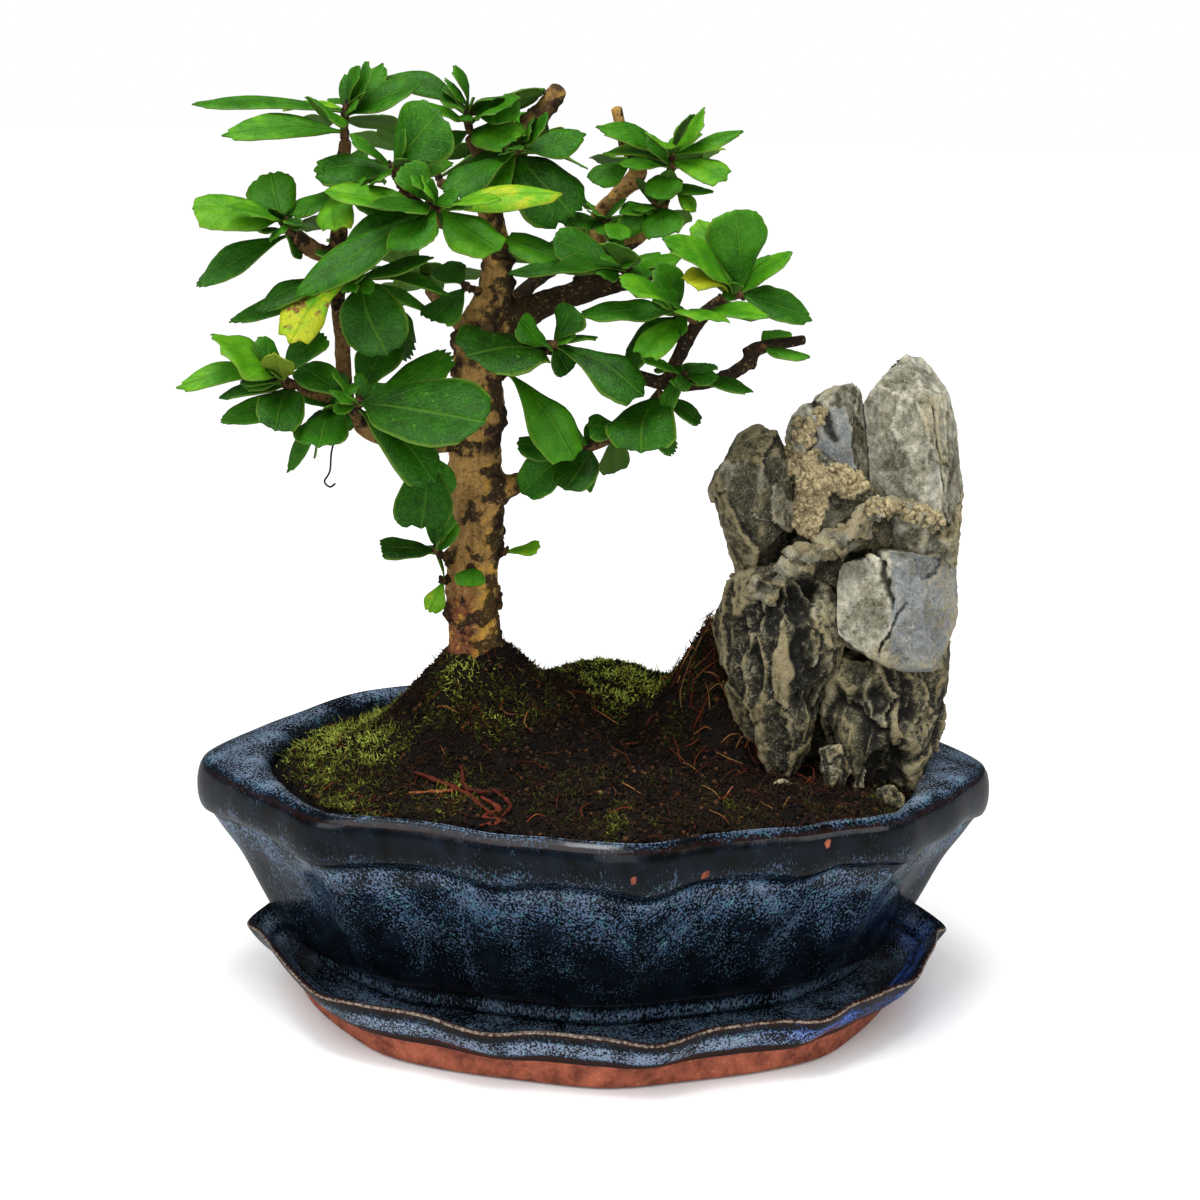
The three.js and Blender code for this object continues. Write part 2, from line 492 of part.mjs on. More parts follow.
// The largest body of a solid: cutting can leave loose scraps, which are dropped.
function largestBody(solid) {
  const bodies = solid.decompose();
  return bodies.reduce((best, body) => (body.volume() > best.volume() ? body : best));
}

function joined(solids) {
  return solids.reduce((whole, solid) => whole.add(solid));
}

function cutBy(solid, cutters) {
  return largestBody(cutters.reduce((rest, cutter) => rest.subtract(cutter), solid));
}

// A solid as a named mesh of the model.
function meshOf(name, solid, material) {
  const { vertProperties, triVerts } = solid.getMesh();
  const geometry = new THREE.BufferGeometry();
  geometry.setAttribute('position', new THREE.BufferAttribute(new Float32Array(vertProperties), 3));
  geometry.setIndex(new THREE.BufferAttribute(new Uint32Array(triVerts), 1));
  geometry.computeVertexNormals();
  const mesh = new THREE.Mesh(geometry, material);
  mesh.name = name;
  return mesh;
}

// Moves every corner of a geometry to the place that a function gives for it.
function reshape(geometry, place) {
  const position = geometry.attributes.position;
  const corner = new THREE.Vector3();
  for (let i = 0; i < position.count; i += 1) {
    corner.fromBufferAttribute(position, i);
    position.setXYZ(i, ...place(corner, i));
  }
  return geometry;
}

// A number between 0 and 1 that is fixed by its place in a seeded row.
function chance(seed, place) {
  const wave = Math.sin(seed * 127.1 + place * 311.7) * 43758.5453;
  return wave - Math.floor(wave);
}

// Ceramics and soil

// The whole outline from its front quarter, mirrored to the side and the back, as a closed smooth curve.
function outlineCurve(quarter) {
  const last = quarter.length - 1;
  const points = [];
  for (let i = 0; i < last; i += 1) {
    points.push([quarter[i][0], -quarter[i][1]]);
  }
  for (let i = last; i > 0; i -= 1) {
    points.push([quarter[i][0], quarter[i][1]]);
  }
  for (let i = 0; i < last; i += 1) {
    points.push([-quarter[i][0], quarter[i][1]]);
  }
  for (let i = last; i > 0; i -= 1) {
    points.push([-quarter[i][0], -quarter[i][1]]);
  }
  const corners = points.map(([x, y]) => new THREE.Vector3(x, y, 0));
  return new THREE.CatmullRomCurve3(corners, true, 'catmullrom', 0.5);
}

const OUTLINES = {
  lip: outlineCurve(LIP_OUTLINE),
  mouth: outlineCurve(MOUTH_OUTLINE),
  dish: outlineCurve(DISH_OUTLINE),
};
const SIDES_AROUND = OUTLINES.lip.points.length * STEPS_BETWEEN_POINTS;

// A closed body between scaled copies of the outlines, row by row from the axis below to the axis on top.
// `shift` moves it sideways.
function loft(rows, tipChange, shift = 0, sides = SIDES_AROUND) {
  const profile = rows.map((row, i) => new THREE.Vector2(row[1] === 0 ? 0 : 1, i));
  const lathe = new THREE.LatheGeometry(profile, sides);
  const place = (corner, i) => {
    const [outline, width, depth, height, share] = rows[i % rows.length];
    const around = (Math.floor(i / rows.length) % sides) / sides;
    const point = OUTLINES[outline].getPoint(around);
    const reach = point.x / POT_HALF_WIDTH;
    const z = typeof height === 'function' ? height(point.x * width + shift, point.y * depth) : height;
    return [point.x * width + shift, point.y * depth, z + share * tipChange * reach * reach];
  };
  return solidOf(reshape(lathe, place));
}

function drainHole(x) {
  const length = POT_FLOOR * 2;
  const drill = new THREE.CylinderGeometry(DRAIN_RADIUS, DRAIN_RADIUS, length, 16);
  drill.rotateX(Math.PI / 2);
  drill.translate(x, 0, POT_FLOOR / 2);
  return solidOf(drill);
}

// Height of the soil's open top: a low dome, higher at the front, with three mounds and small unevenness.
function soilHeight(x, y) {
  const reach = (x / POT_HALF_WIDTH) ** 2 + (y / POT_HALF_DEPTH) ** 2;
  let z = SOIL_EDGE + SOIL_DOME * Math.max(0, 1 - reach);
  z -= SOIL_BACK_FALL * y + SOIL_END_FALL * Math.max(0, x - SOIL_END_FROM);
  for (const [middleX, middleY, height, spreadX, spreadY] of SOIL_MOUNDS) {
    z += height * Math.exp(-(((x - middleX) / spreadX) ** 2) - ((y - middleY) / spreadY) ** 2);
  }
  return z + SOIL_UNEVENNESS * Math.sin(x * 0.31 + 0.8 * Math.sin(y * 0.23)) * Math.cos(y * 0.27 + x * 0.05);
}

function soilRows() {
  const top = SOIL_RINGS.map((share) => ['mouth', share, share * SOIL_RING_DEPTH, soilHeight, 0]);
  return [...SOIL_SECTION, ...top];
}

// Wood

const TRUNK_LUMPS = 0.05;
const LIMB_LUMPS = 0.04;
const THICK_LIMB = 3;      // limbs that start thicker than this radius have six sides

function smoothLine(points) {
  const corners = points.map(([x, y, z]) => new THREE.Vector3(x, y, z));
  return new THREE.CatmullRomCurve3(corners, false, 'catmullrom', 0.5);
}

// A tapering limb along a smooth line through its points, with the radius given at each point.
// `lumps` is the share by which the bark swells and sinks around it, `extra` is added all round.
function limb(points, radii, { sides = 5, steps = points.length - 1, lumps = 0, extra = 0 } = {}) {
  const line = smoothLine(points);
  const reach = new THREE.Vector3(...points.at(-1)).sub(new THREE.Vector3(...points[0]));
  const spans = [Math.abs(reach.x), Math.abs(reach.y), Math.abs(reach.z)];
  const across = new THREE.Vector3().setComponent(spans.indexOf(Math.min(...spans)), 1);
  const tube = new THREE.CylinderGeometry(1, 1, 1, sides, steps);
  return solidOf(reshape(tube, (corner) => {
    const t = 0.5 - corner.y;
    const at = t * (points.length - 1);
    const below = Math.min(Math.floor(at), points.length - 2);
    const radius = THREE.MathUtils.lerp(radii[below], radii[below + 1], at - below) + extra;
    const turn = Math.atan2(corner.z, corner.x);
    const swell = 1 + lumps * Math.sin(2 * turn + 23 * t) + 0.7 * lumps * Math.sin(3 * turn - 41 * t);
    const along = line.getTangent(t);
    const side = new THREE.Vector3().crossVectors(across, along).normalize();
    const front = new THREE.Vector3().crossVectors(along, side);
    const overrun = along.multiplyScalar((t === 0 ? -extra : 0) + (t === 1 ? extra : 0));
    return line.getPoint(t).add(overrun)
      .addScaledVector(side, corner.x * radius * swell)
      .addScaledVector(front, corner.z * radius * swell).toArray();
  }));
}

function wood(extra) {
  const trunk = limb(TRUNK.points, TRUNK.radii, { sides: 8, steps: 17, lumps: TRUNK_LUMPS, extra });
  const limbs = LIMBS.map(([points, radii]) => {
    const sides = radii[0] > THICK_LIMB ? 6 : 4;
    return limb(points, radii, { sides, lumps: LIMB_LUMPS, extra });
  });
  return joined([trunk, ...limbs]);
}

// Leaves

// A leaf blade's outline by form: place along the blade and half width there, as shares of the blade's
// length and greatest half width, from the stalk to the shoulders, then the place of the tip's two
// teeth and their half width. `notch` is where the tip's middle lies.
const LEAF_FORMS = {
  obovate: { spans: [[0, 0], [0.32, 0.52], [0.62, 0.95], [0.86, 0.86], [0.97, 0.4]], notch: 1 },
  round: { spans: [[0, 0], [0.28, 0.74], [0.58, 1], [0.83, 0.84], [0.965, 0.42]], notch: 1 },
  pointed: { spans: [[0, 0], [0.3, 0.64], [0.58, 1], [0.82, 0.7], [0.98, 0.16]], notch: 1 },
  notched: { spans: [[0, 0], [0.3, 0.6], [0.6, 0.97], [0.85, 0.95], [1, 0.5]], notch: 0.92 },
};
const LEAF_BOW = 0.03;   // how far the midrib bows up, as a share of the blade's length
const LEAF_FOLD = 0.22;  // how far the edges stand above the midrib, as a share of the half width

// One blade from its root to its tip: a thin closed sheet folded along the midrib, turned about it.
// `lean` is how far the blade's upper face looks forward, 0 for straight up.
function leaf(root, tip, width, roll, form, lean) {
  const length = root.distanceTo(tip);
  const along = tip.clone().sub(root).normalize();
  const light = new THREE.Vector3(0, -lean, 1);
  const face = light.addScaledVector(along, -light.dot(along)).normalize();
  face.applyAxisAngle(along, THREE.MathUtils.degToRad(roll));
  const side = new THREE.Vector3().crossVectors(face, along);
  const { spans, notch } = LEAF_FORMS[form];
  const large = length > LARGE_LEAF;
  const used = large ? spans : [...spans.slice(0, 4), [1, 0]];
  const rows = used.length - 1;
  const sheet = new THREE.BoxGeometry(2, rows, 1, large ? 2 : 1, rows, 1);
  return solidOf(reshape(sheet, (corner) => {
    const row = Math.round(corner.y + rows / 2);
    const middle = Math.abs(corner.x) < 0.5;
    const t = row === rows && middle ? notch : used[row][0];
    const across = corner.x * used[row][1] * width / 2;
    const rise = LEAF_BOW * length * Math.sin(Math.PI * t) + LEAF_FOLD * Math.abs(across);
    const level = rise + corner.z * LEAF_THICKNESS;
    return root.clone()
      .addScaledVector(along, t * length)
      .addScaledVector(side, across)
      .addScaledVector(face, level).toArray();
  }));
}

// A leafy shoot: its green stem and the blades that grow from it, joined into one body.
function shoot([name, radius, stem, blades], lean) {
  const line = smoothLine(stem);
  const axis = limb(stem, stem.map(() => radius), { sides: 4, steps: stem.length - 1 });
  const leaves = blades.map(([t, x, y, z, width, roll, form]) => {
    const tip = new THREE.Vector3(x, y, z);
    return leaf(line.getPoint(t), tip, width, roll, form, y > BACK_FROM ? -lean : lean);
  });
  return { name, solid: joined([axis, ...leaves]) };
}

// Stones

const COARSE_SHARE = 0.65;   // the coarse waves' share of a stone's relief
const CRAG_LIFT = 0.5;       // how far the ridges stand out of the rough block, as a share of the relief

// A solid's raw hull, each face split in four and pushed out or in by ridged waves through space.
function craggy([name, points, rounds, depth], extra = 0) {
  const corners = points.map((p) => new THREE.Vector3(...p));
  const middle = corners.reduce((sum, p) => sum.add(p), new THREE.Vector3()).divideScalar(corners.length);
  let faces = weld(new ConvexGeometry(corners)).toNonIndexed().attributes.position.array;
  for (let round = 0; round < rounds; round += 1) {
    faces = splitInFour(faces);
  }
  const geometry = new THREE.BufferGeometry();
  geometry.setAttribute('position', new THREE.BufferAttribute(new Float32Array(faces), 3));
  return solidOf(reshape(geometry, (corner) => {
    const out = corner.clone().sub(middle).normalize();
    const push = depth * (crag(corner) + CRAG_LIFT) + extra * CRAG_CLEARANCE;
    return corner.addScaledVector(out, push).toArray();
  }));
}

// Ridges with hollows between them, from -1 to 0: a coarse and a fine set of folded waves down the stone.
function crag({ x, y, z }) {
  const coarse = Math.abs(Math.sin(x * 0.19 + y * 0.13 + 1.1 * Math.sin(z * 0.07)));
  const fine = Math.abs(Math.sin(x * 0.41 - y * 0.33 + z * 0.12 + 1.7));
  return -COARSE_SHARE * (1 - coarse) - (1 - COARSE_SHARE) * (1 - fine);
}

function splitInFour(faces) {
  const split = [];
  const [a, b, c] = [new THREE.Vector3(), new THREE.Vector3(), new THREE.Vector3()];
  for (let i = 0; i < faces.length; i += 9) {
    a.fromArray(faces, i);
    b.fromArray(faces, i + 3);
    c.fromArray(faces, i + 6);
    const ab = a.clone().add(b).multiplyScalar(0.5);
    const bc = b.clone().add(c).multiplyScalar(0.5);
    const ca = c.clone().add(a).multiplyScalar(0.5);
    for (const p of [a, ab, ca, ab, b, bc, ca, bc, c, ab, bc, ca]) {
      split.push(p.x, p.y, p.z);
    }
  }
  return split;
}

// Materials

function finish(color, roughness, metalness = 0) {
  return new THREE.MeshStandardMaterial({ color, roughness, metalness });
}

const FINISHES = {
  glaze: finish(0x26324a, 0.18),
  soil: finish(0x2b2416, 0.95),
  bark: finish(0x8a6a42, 0.85),
  leaf: finish(0x3f7d2a, 0.4),
  stone: finish(0x85827a, 0.8),
  mortar: finish(0xa3947a, 0.95),
  root: finish(0x7a3a26, 0.8),
};

// Assembly

function potMesh() {
  const holes = [drainHole(-DRAIN_OFFSET), drainHole(DRAIN_OFFSET)];
  return meshOf('pot', cutBy(loft(POT_SECTION, -LIP_DROOP, POT_SHIFT), holes), FINISHES.glaze);
}

function saucerMesh() {
  return meshOf('saucer', loft(SAUCER_SECTION, SAUCER_TIP_RISE), FINISHES.glaze);
}

// A shoot whose blades fan out round its stem, each turned on by the same angle, with seeded length and rise.
function fannedShoot([name, stem, count, seed]) {
  const blades = [];
  for (let i = 0; i < count; i += 1) {
    const t = (i + 0.5) / count;
    const turn = THREE.MathUtils.degToRad(FAN_TURN * i + FAN_START * seed);
    const length = THREE.MathUtils.lerp(...FAN_LENGTH, chance(seed, i));
    const rise = THREE.MathUtils.lerp(...FAN_RISE, chance(seed, i + 20));
    const end = stem[Math.round(t * (stem.length - 1))];
    const tip = [Math.cos(turn) * length, FAN_BACK + Math.sin(turn) * length * FAN_DEPTH, rise * length];
    blades.push([t, end[0] + tip[0], end[1] + tip[1], end[2] + tip[2], length * FAN_WIDTH, 0, 'obovate']);
  }
  return [name, STEM_RADIUS, stem, blades];
}

function rootsOnSoil(extra) {
  const branches = ROOT.map(([points, radii]) => {
    const laid = points.map(([x, y]) => [x, y, soilHeight(x, y) + ROOT_LIFT]);
    return limb(laid, radii, { sides: 5, steps: 6, extra });
  });
  return joined(branches);
}

function shootMeshes(woodCutter) {
  const all = [...SHOOTS, ...BACK_SHOOTS.map(fannedShoot)];
  return all.map((data) => {
    const { name, solid } = shoot(data, LEAN);
    return meshOf(name, cutBy(solid, [woodCutter]), FINISHES.leaf);
  });
}

// The rock's stones, each cut clear of the ones before it.
function rockMeshes() {
  const cutters = [];
  return STONES.map((stone) => {
    const material = stone[0] === 'rock_mortar' ? FINISHES.mortar : FINISHES.stone;
    const mesh = meshOf(stone[0], cutBy(craggy(stone), cutters), material);
    cutters.push(craggy(stone, GROWTH));
    return mesh;
  });
}

// A stone's plain block before it is split and hollowed, a little larger all round.
function seatOf([name, points, rounds, depth]) {
  return craggy([name, points, 0, 0], GROWTH + depth / 2);
}

const woodCutter = wood(GROWTH);
const loose = LOOSE_STONES.map((stone) => meshOf(stone[0], craggy(stone), FINISHES.stone));
const roots = meshOf('surface_roots', rootsOnSoil(0), FINISHES.root);
const soil = cutBy(loft(soilRows(), -LIP_DROOP, POT_SHIFT, OUTLINES.lip.points.length), [
  woodCutter, rootsOnSoil(GROWTH), ...[...STONES, ...LOOSE_STONES].map(seatOf)]);

const bonsai = new THREE.Group();
bonsai.add(
  saucerMesh(),
  potMesh(),
  meshOf('soil', soil, FINISHES.soil),
  meshOf('trunk', wood(0), FINISHES.bark),
  ...shootMeshes(woodCutter),
  ...rockMeshes(),
  ...loose,
  roots,
);

export default bonsai;
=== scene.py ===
"""Dresses a fukien tea bonsai in a glazed lozenge pot on its saucer, beside a rock of cemented stones.

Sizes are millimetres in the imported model's frame: +Z up, the front of the pot towards -Y. A mesh is turned
into metres when its piece is made.
"""

import logging
import math
from dataclasses import dataclass, field
from enum import Enum
from itertools import product

import bpy
import numpy as np
from mathutils import Matrix, Vector


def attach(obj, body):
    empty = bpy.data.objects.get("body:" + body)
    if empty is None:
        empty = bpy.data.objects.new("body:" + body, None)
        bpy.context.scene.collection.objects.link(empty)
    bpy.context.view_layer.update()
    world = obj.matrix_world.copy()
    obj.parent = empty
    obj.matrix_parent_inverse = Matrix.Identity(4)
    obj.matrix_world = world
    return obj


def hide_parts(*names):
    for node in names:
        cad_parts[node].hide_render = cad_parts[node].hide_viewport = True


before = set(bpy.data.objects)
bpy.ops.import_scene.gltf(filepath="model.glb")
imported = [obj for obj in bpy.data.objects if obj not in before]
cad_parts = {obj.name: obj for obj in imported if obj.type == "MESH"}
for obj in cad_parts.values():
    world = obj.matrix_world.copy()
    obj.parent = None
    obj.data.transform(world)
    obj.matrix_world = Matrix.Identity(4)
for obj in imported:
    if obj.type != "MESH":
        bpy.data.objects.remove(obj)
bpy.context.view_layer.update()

Array = np.ndarray
Random = np.random.Generator
Object = bpy.types.Object
Material = bpy.types.Material
Tree = bpy.types.NodeTree
Socket = bpy.types.NodeSocket
Place = tuple[float, float, float]
Line = Array | tuple[Place, ...]
Period = Array | float | Place
Colour = tuple[float, float, float, float]
Stops = tuple[tuple[float, str], ...]
Input = float | str | tuple[float, ...] | Socket
Limb = tuple[tuple[Place, ...], tuple[float, ...]]

LOG = logging.getLogger("bonsai")
MM = 0.001
ROOT_BODY = "root"
TURN = 6.3
NOISE_LOW, NOISE_HIGH = 0.3, 0.7

# Colours and nodes
# Sockets go by number where two share a name. Of Map Range, 0 is the value, 1 and 2 are where it starts and
# ends, and 3 and 4 what those become. Of Mix, 0 is the share, 6 and 7 are the colours and 2 is the output.


def linear(code: str) -> Colour:
    """Linear light of an sRGB colour.

    Args:
        code: the colour as #rrggbb.

    Returns:
        Red, green, blue and an alpha of one.
    """
    shares = [int(code[i : i + 2], 16) / 255 for i in (1, 3, 5)]
    red, green, blue = (c / 12.92 if c <= 0.04045 else ((c + 0.055) / 1.055) ** 2.4 for c in shares)
    return (red, green, blue, 1.0)


def add_node(tree: Tree, kind: str, inputs: dict[int | str, Input], out: int | str = 0, stops: Stops = (),
             **settings: str) -> Socket | None:
    """Adds one shader node with its settings and links.

    Args:
        tree: the node tree that it goes into.
        kind: the node's type, without the word that all share.
        inputs: socket name or number to its value, its colour as #rrggbb or the output that feeds it.
        out: the output to hand on.
        stops: a colour ramp's places and colours, from low to high.
        **settings: the node's own properties.

    Returns:
        That output, or nothing where the node has none.
    """
    node = tree.nodes.new("ShaderNode" + kind)
    for name, value in settings.items():
        setattr(node, name, value)
    for key, value in inputs.items():
        if isinstance(value, Socket):
            tree.links.new(value, node.inputs[key])
        else:
            node.inputs[key].default_value = linear(value) if isinstance(value, str) else value
    if stops:
        ramp = node.color_ramp.elements
        ramp[0].position, ramp[0].color = stops[0][0], linear(stops[0][1])
        ramp[1].position, ramp[1].color = stops[-1][0], linear(stops[-1][1])
        for place, code in stops[1:-1]:
            ramp.new(place).color = linear(code)
    return node.outputs[out] if node.outputs else None


def new_material(name: str) -> tuple[Material, Tree]:
    """A new material.

    Args:
        name: what it is called.

    Returns:
        The material and its empty node tree.
    """
    material = bpy.data.materials.new(name)
    material.use_nodes = True
    material.node_tree.nodes.clear()
    return material, material.node_tree


@dataclass(frozen=True)
class Grain:
    """A noise pattern in the piece's own space.

    Attributes:
        size: millimetres from one bright place to the next, about.
        detail: how many finer layers lie on it.
        rough: how strong those are.
        along: how many times longer it grows along x, y and z.
        spread: what its common range, 0.3 to 0.7, becomes; nothing leaves it as it is.
        gain: what it counts for in a level.
        lines: whether its middle values count alone, as the distance from them.
    """

    size: float
    detail: float = 3.0
    rough: float = 0.55
    along: Place = (1, 1, 1)
    spread: tuple[float, ...] = ()
    gain: float = 1.0
    lines: bool = False

    def lay(self, tree: Tree) -> Socket:
        """Adds the pattern to a tree.

        Args:
            tree: the node tree.

        Returns:
            The pattern's output.
        """
        place = add_node(tree, "TexCoord", {}, "Object")
        scale = tuple(1 / (MM * length) for length in self.along)
        where = add_node(tree, "Mapping", {"Vector": place, "Scale": scale})
        noise = {"Vector": where, "Scale": 1 / self.size, "Detail": self.detail, "Roughness": self.rough}
        level = add_node(tree, "TexNoise", noise, "Fac")
        if self.spread:
            ends = {1: NOISE_LOW, 2: NOISE_HIGH, 3: self.spread[0], 4: self.spread[1]}
            level = add_node(tree, "MapRange", {0: level, **ends})
        if self.lines:
            level = add_node(tree, "Math", {0: level, 1: 0.5}, operation="SUBTRACT")
            level = add_node(tree, "Math", {0: level}, operation="ABSOLUTE")
        if self.gain != 1.0:
            level = add_node(tree, "Math", {0: level, 1: self.gain}, operation="MULTIPLY")
        return level


def level_of(tree: Tree, grains: tuple[Grain, ...], mark: str = "", weight: float = 1.0) -> Socket:
    """The sum of some patterns and of a value that the mesh carries at each corner.

    Args:
        tree: the node tree.
        grains: the patterns.
        mark: the value's name, where one counts.
        weight: what it counts for.

    Returns:
        The sum's output.
    """
    parts = [grain.lay(tree) for grain in grains]
    if mark:
        carried = add_node(tree, "Attribute", {}, "Fac", attribute_name=mark)
        parts.append(add_node(tree, "Math", {0: carried, 1: weight}, operation="MULTIPLY"))
    level = parts[0]
    for part in parts[1:]:
        level = add_node(tree, "Math", {0: level, 1: part}, operation="ADD")
    return level


@dataclass(frozen=True)
class Coat:
    """A colour that lies over another where a level is high, or low where it begins above its end.

    Attributes:
        colour: the colour.
        begin: the level where it begins.
        end: the level from which it is whole.
        share: how much of it shows there.
        grain: the pattern that counts towards the level.
        mark: the mark that counts towards the level.
        weight: what the mark counts for.
    """

    colour: str
    begin: float
    end: float
    share: float = 1.0
    grain: Grain | None = None
    mark: str = ""
    weight: float = 1.0

    def over(self, tree: Tree, below: Input, held: Socket | None = None) -> Socket:
        """Lays the coat over a colour.

        Args:
            tree: the node tree.
            below: the colour below it.
            held: an output that its share is multiplied by.

        Returns:
            The colour of both.
        """
        level = level_of(tree, (self.grain,) if self.grain else (), self.mark, self.weight)
        share = add_node(tree, "MapRange", {0: level, 1: self.begin, 2: self.end, 3: 0, 4: self.share})
        if held:
            share = add_node(tree, "Math", {0: share, 1: held}, operation="MULTIPLY")
        return add_node(tree, "Mix", {0: share, 6: below, 7: self.colour}, 2, data_type="RGBA")


def close_material(tree: Tree, height: Socket, depth: float, strength: float, **looks: Input) -> None:
    """Ends a material with its relief, its shader and its output.

    Args:
        tree: the node tree.
        height: the relief's pattern.
        depth: the relief's height in millimetres.
        strength: how strongly it tilts the surface.
        **looks: the shader's inputs, with _ for a space in their names.
    """
    relief = add_node(tree, "Bump", {"Strength": strength, "Distance": depth * MM, "Height": height})
    inputs = {name.replace("_", " "): value for name, value in looks.items()}
    shader = add_node(tree, "BsdfPrincipled", {**inputs, "Normal": relief})
    add_node(tree, "OutputMaterial", {"Surface": shader})


# Curves and meshes


def smooth_line(points: Line, shares: Array, closed: bool = False) -> Array:
    """Places on the smooth curve through given points.

    Between b and c, with a before them and d after them, the place at share t is half of
    2b + (c - a) t + (2a - 5b + 4c - d) t^2 + (3b - a - 3c + d) t^3.

    Args:
        points: the points that the curve goes through.
        shares: where on the curve, from 0 to 1.
        closed: whether the last point leads back to the first.

    Returns:
        One row per share.
    """
    corners = np.asarray(points, float)
    if closed:
        reach = (shares % 1) * len(corners)
        at = np.floor(reach).astype(int)
        a, b, c, d = (corners[(at + k) % len(corners)] for k in (-1, 0, 1, 2))
    else:
        corners = np.vstack([2 * corners[0] - corners[1], corners, 2 * corners[-1] - corners[-2]])
        reach = np.clip(shares, 0, 1) * (len(corners) - 3)
        at = np.minimum(np.floor(reach).astype(int), len(corners) - 4)
        a, b, c, d = (corners[at + k] for k in range(4))
    t = (reach - at)[:, None]
    return 0.5 * (2 * b + (c - a) * t + (2 * a - 5 * b + 4 * c - d) * t**2 + (3 * b - a - 3 * c + d) * t**3)


def smooth_rows(rows: Array, samples: list[int]) -> Array:
    """Adds rows between given rows, on a smooth curve through them.

    A row's slope is the mean of the slopes to its two neighbours, the nearer one counting for more, and
    two rows are joined by the cubic that has both slopes.

    Args:
        rows: the given rows, each an array of the same shape.
        samples: how many rows each span gets, its first row among them.

    Returns:
        All rows, with the last one at the end.
    """
    flat = rows.reshape(len(rows), -1)
    gaps = np.linalg.norm(np.diff(rows[..., :3], axis=0), axis=-1).mean(axis=1) + 1e-6
    slopes = np.diff(flat, axis=0) / gaps[:, None]
    inner = (slopes[:-1] * gaps[1:, None] + slopes[1:] * gaps[:-1, None]) / (gaps[:-1] + gaps[1:])[:, None]
    ends = np.vstack([slopes[:1], inner, slopes[-1:]])
    made = []
    for i, count in enumerate(samples):
        t = np.linspace(0, 1, count, endpoint=False)[:, None]
        made.append((2 * t**3 - 3 * t**2 + 1) * flat[i] + (t**3 - 2 * t**2 + t) * gaps[i] * ends[i]
                    + (3 * t**2 - 2 * t**3) * flat[i + 1] + (t**3 - t**2) * gaps[i] * ends[i + 1])
    made.append(flat[-1:])
    return np.vstack(made).reshape(-1, *rows.shape[1:])


def ring_faces(rows: int, around: int, first: int = 0) -> Array:
    """Faces of four corners between rings that follow one another.

    Args:
        rows: how many rings.
        around: corners in a ring.
        first: the number of the first ring's first corner.

    Returns:
        One row a face, with its corners' numbers.
    """
    here = np.arange(around)
    after = (here + 1) % around
    start = first + around * np.arange(rows - 1)[:, None]
    faces = np.stack([start + here, start + after, start + around + after, start + around + here], -1)
    return faces.reshape(-1, 4)


def unit(vectors: Array) -> Array:
    """Vectors of length one in the same directions."""
    return vectors / (np.linalg.norm(vectors, axis=-1, keepdims=True) + 1e-12)


def ramp(values: Array | float, start: float, end: float) -> Array:
    """Zero up to the start and one from the end, which may be the lower of the two, and even between them."""
    return np.clip((values - start) / (end - start), 0, 1)


def bell(x: Array, y: Array, hill: tuple[float, ...]) -> Array:
    """A soft hill: e to minus the square of the distance from its middle, measured in its own spreads.

    Args:
        x: places along x.
        y: places along y, or along z for a hill on an upright face.
        hill: its middle along both, then its spread along both.

    Returns:
        Heights, one in the middle.
    """
    middle_x, middle_y, spread_x, spread_y = hill
    return np.exp(-(((x - middle_x) / spread_x) ** 2) - ((y - middle_y) / spread_y) ** 2)


@dataclass
class Skin:
    """A surface in the making.

    Attributes:
        points: corner places in millimetres, one row each.
        faces: groups of faces with the same number of corners, each with its material's number.
        marks: values that each corner carries for the materials.
        uv: two shares for each corner, or nothing.
    """

    points: Array
    faces: list[tuple[Array, int]]
    marks: dict[str, Array] = field(default_factory=dict)
    uv: Array | None = None

    def marked(self, **marks: float | Array) -> "Skin":
        """Sets values that the corners carry, and returns the skin."""
        for name, value in marks.items():
            self.marks[name] = np.broadcast_to(np.asarray(value, float), (len(self.points),)).copy()
        return self


def join(skins: list[Skin]) -> Skin:
    """One skin of several, which stay separate shells.

    Args:
        skins: the skins. A mark that one of them lacks is zero there.

    Returns:
        The joined skin.
    """
    starts = np.cumsum([0] + [len(s.points) for s in skins])
    names = sorted({name for s in skins for name in s.marks})
    marks = {n: np.concatenate([s.marks.get(n, np.zeros(len(s.points))) for s in skins]) for n in names}
    uv = None
    if any(s.uv is not None for s in skins):
        uv = np.vstack([np.zeros((len(s.points), 2)) if s.uv is None else s.uv for s in skins])
    faces = [(group + start, part) for s, start in zip(skins, starts) for group, part in s.faces]
    return Skin(np.vstack([s.points for s in skins]), faces, marks, uv)


def shell(rings: Array, first: Array, last: Array, part: int = 0) -> Skin:
    """A closed surface: rings of corners joined row to row, and closed by a point at each end.

    The faces look outwards when the rings turn anticlockwise about the way from first to last.

    Args:
        rings: the rings, as rows by corners by three.
        first: the point that closes the first ring.
        last: the point that closes the last ring.
        part: the material's number.

    Returns:
        The skin.
    """
    rows, around = rings.shape[:2]
    points = np.vstack([first, rings.reshape(-1, 3), last])
    here = np.arange(around)
    after = (here + 1) % around
    low = np.stack([np.zeros(around, int), 1 + after, 1 + here], -1)
    top = 1 + around * (rows - 1)
    high = np.stack([top + here, top + after, np.full(around, len(points) - 1)], -1)
    return Skin(points, [(ring_faces(rows, around, 1), part), (low, part), (high, part)])


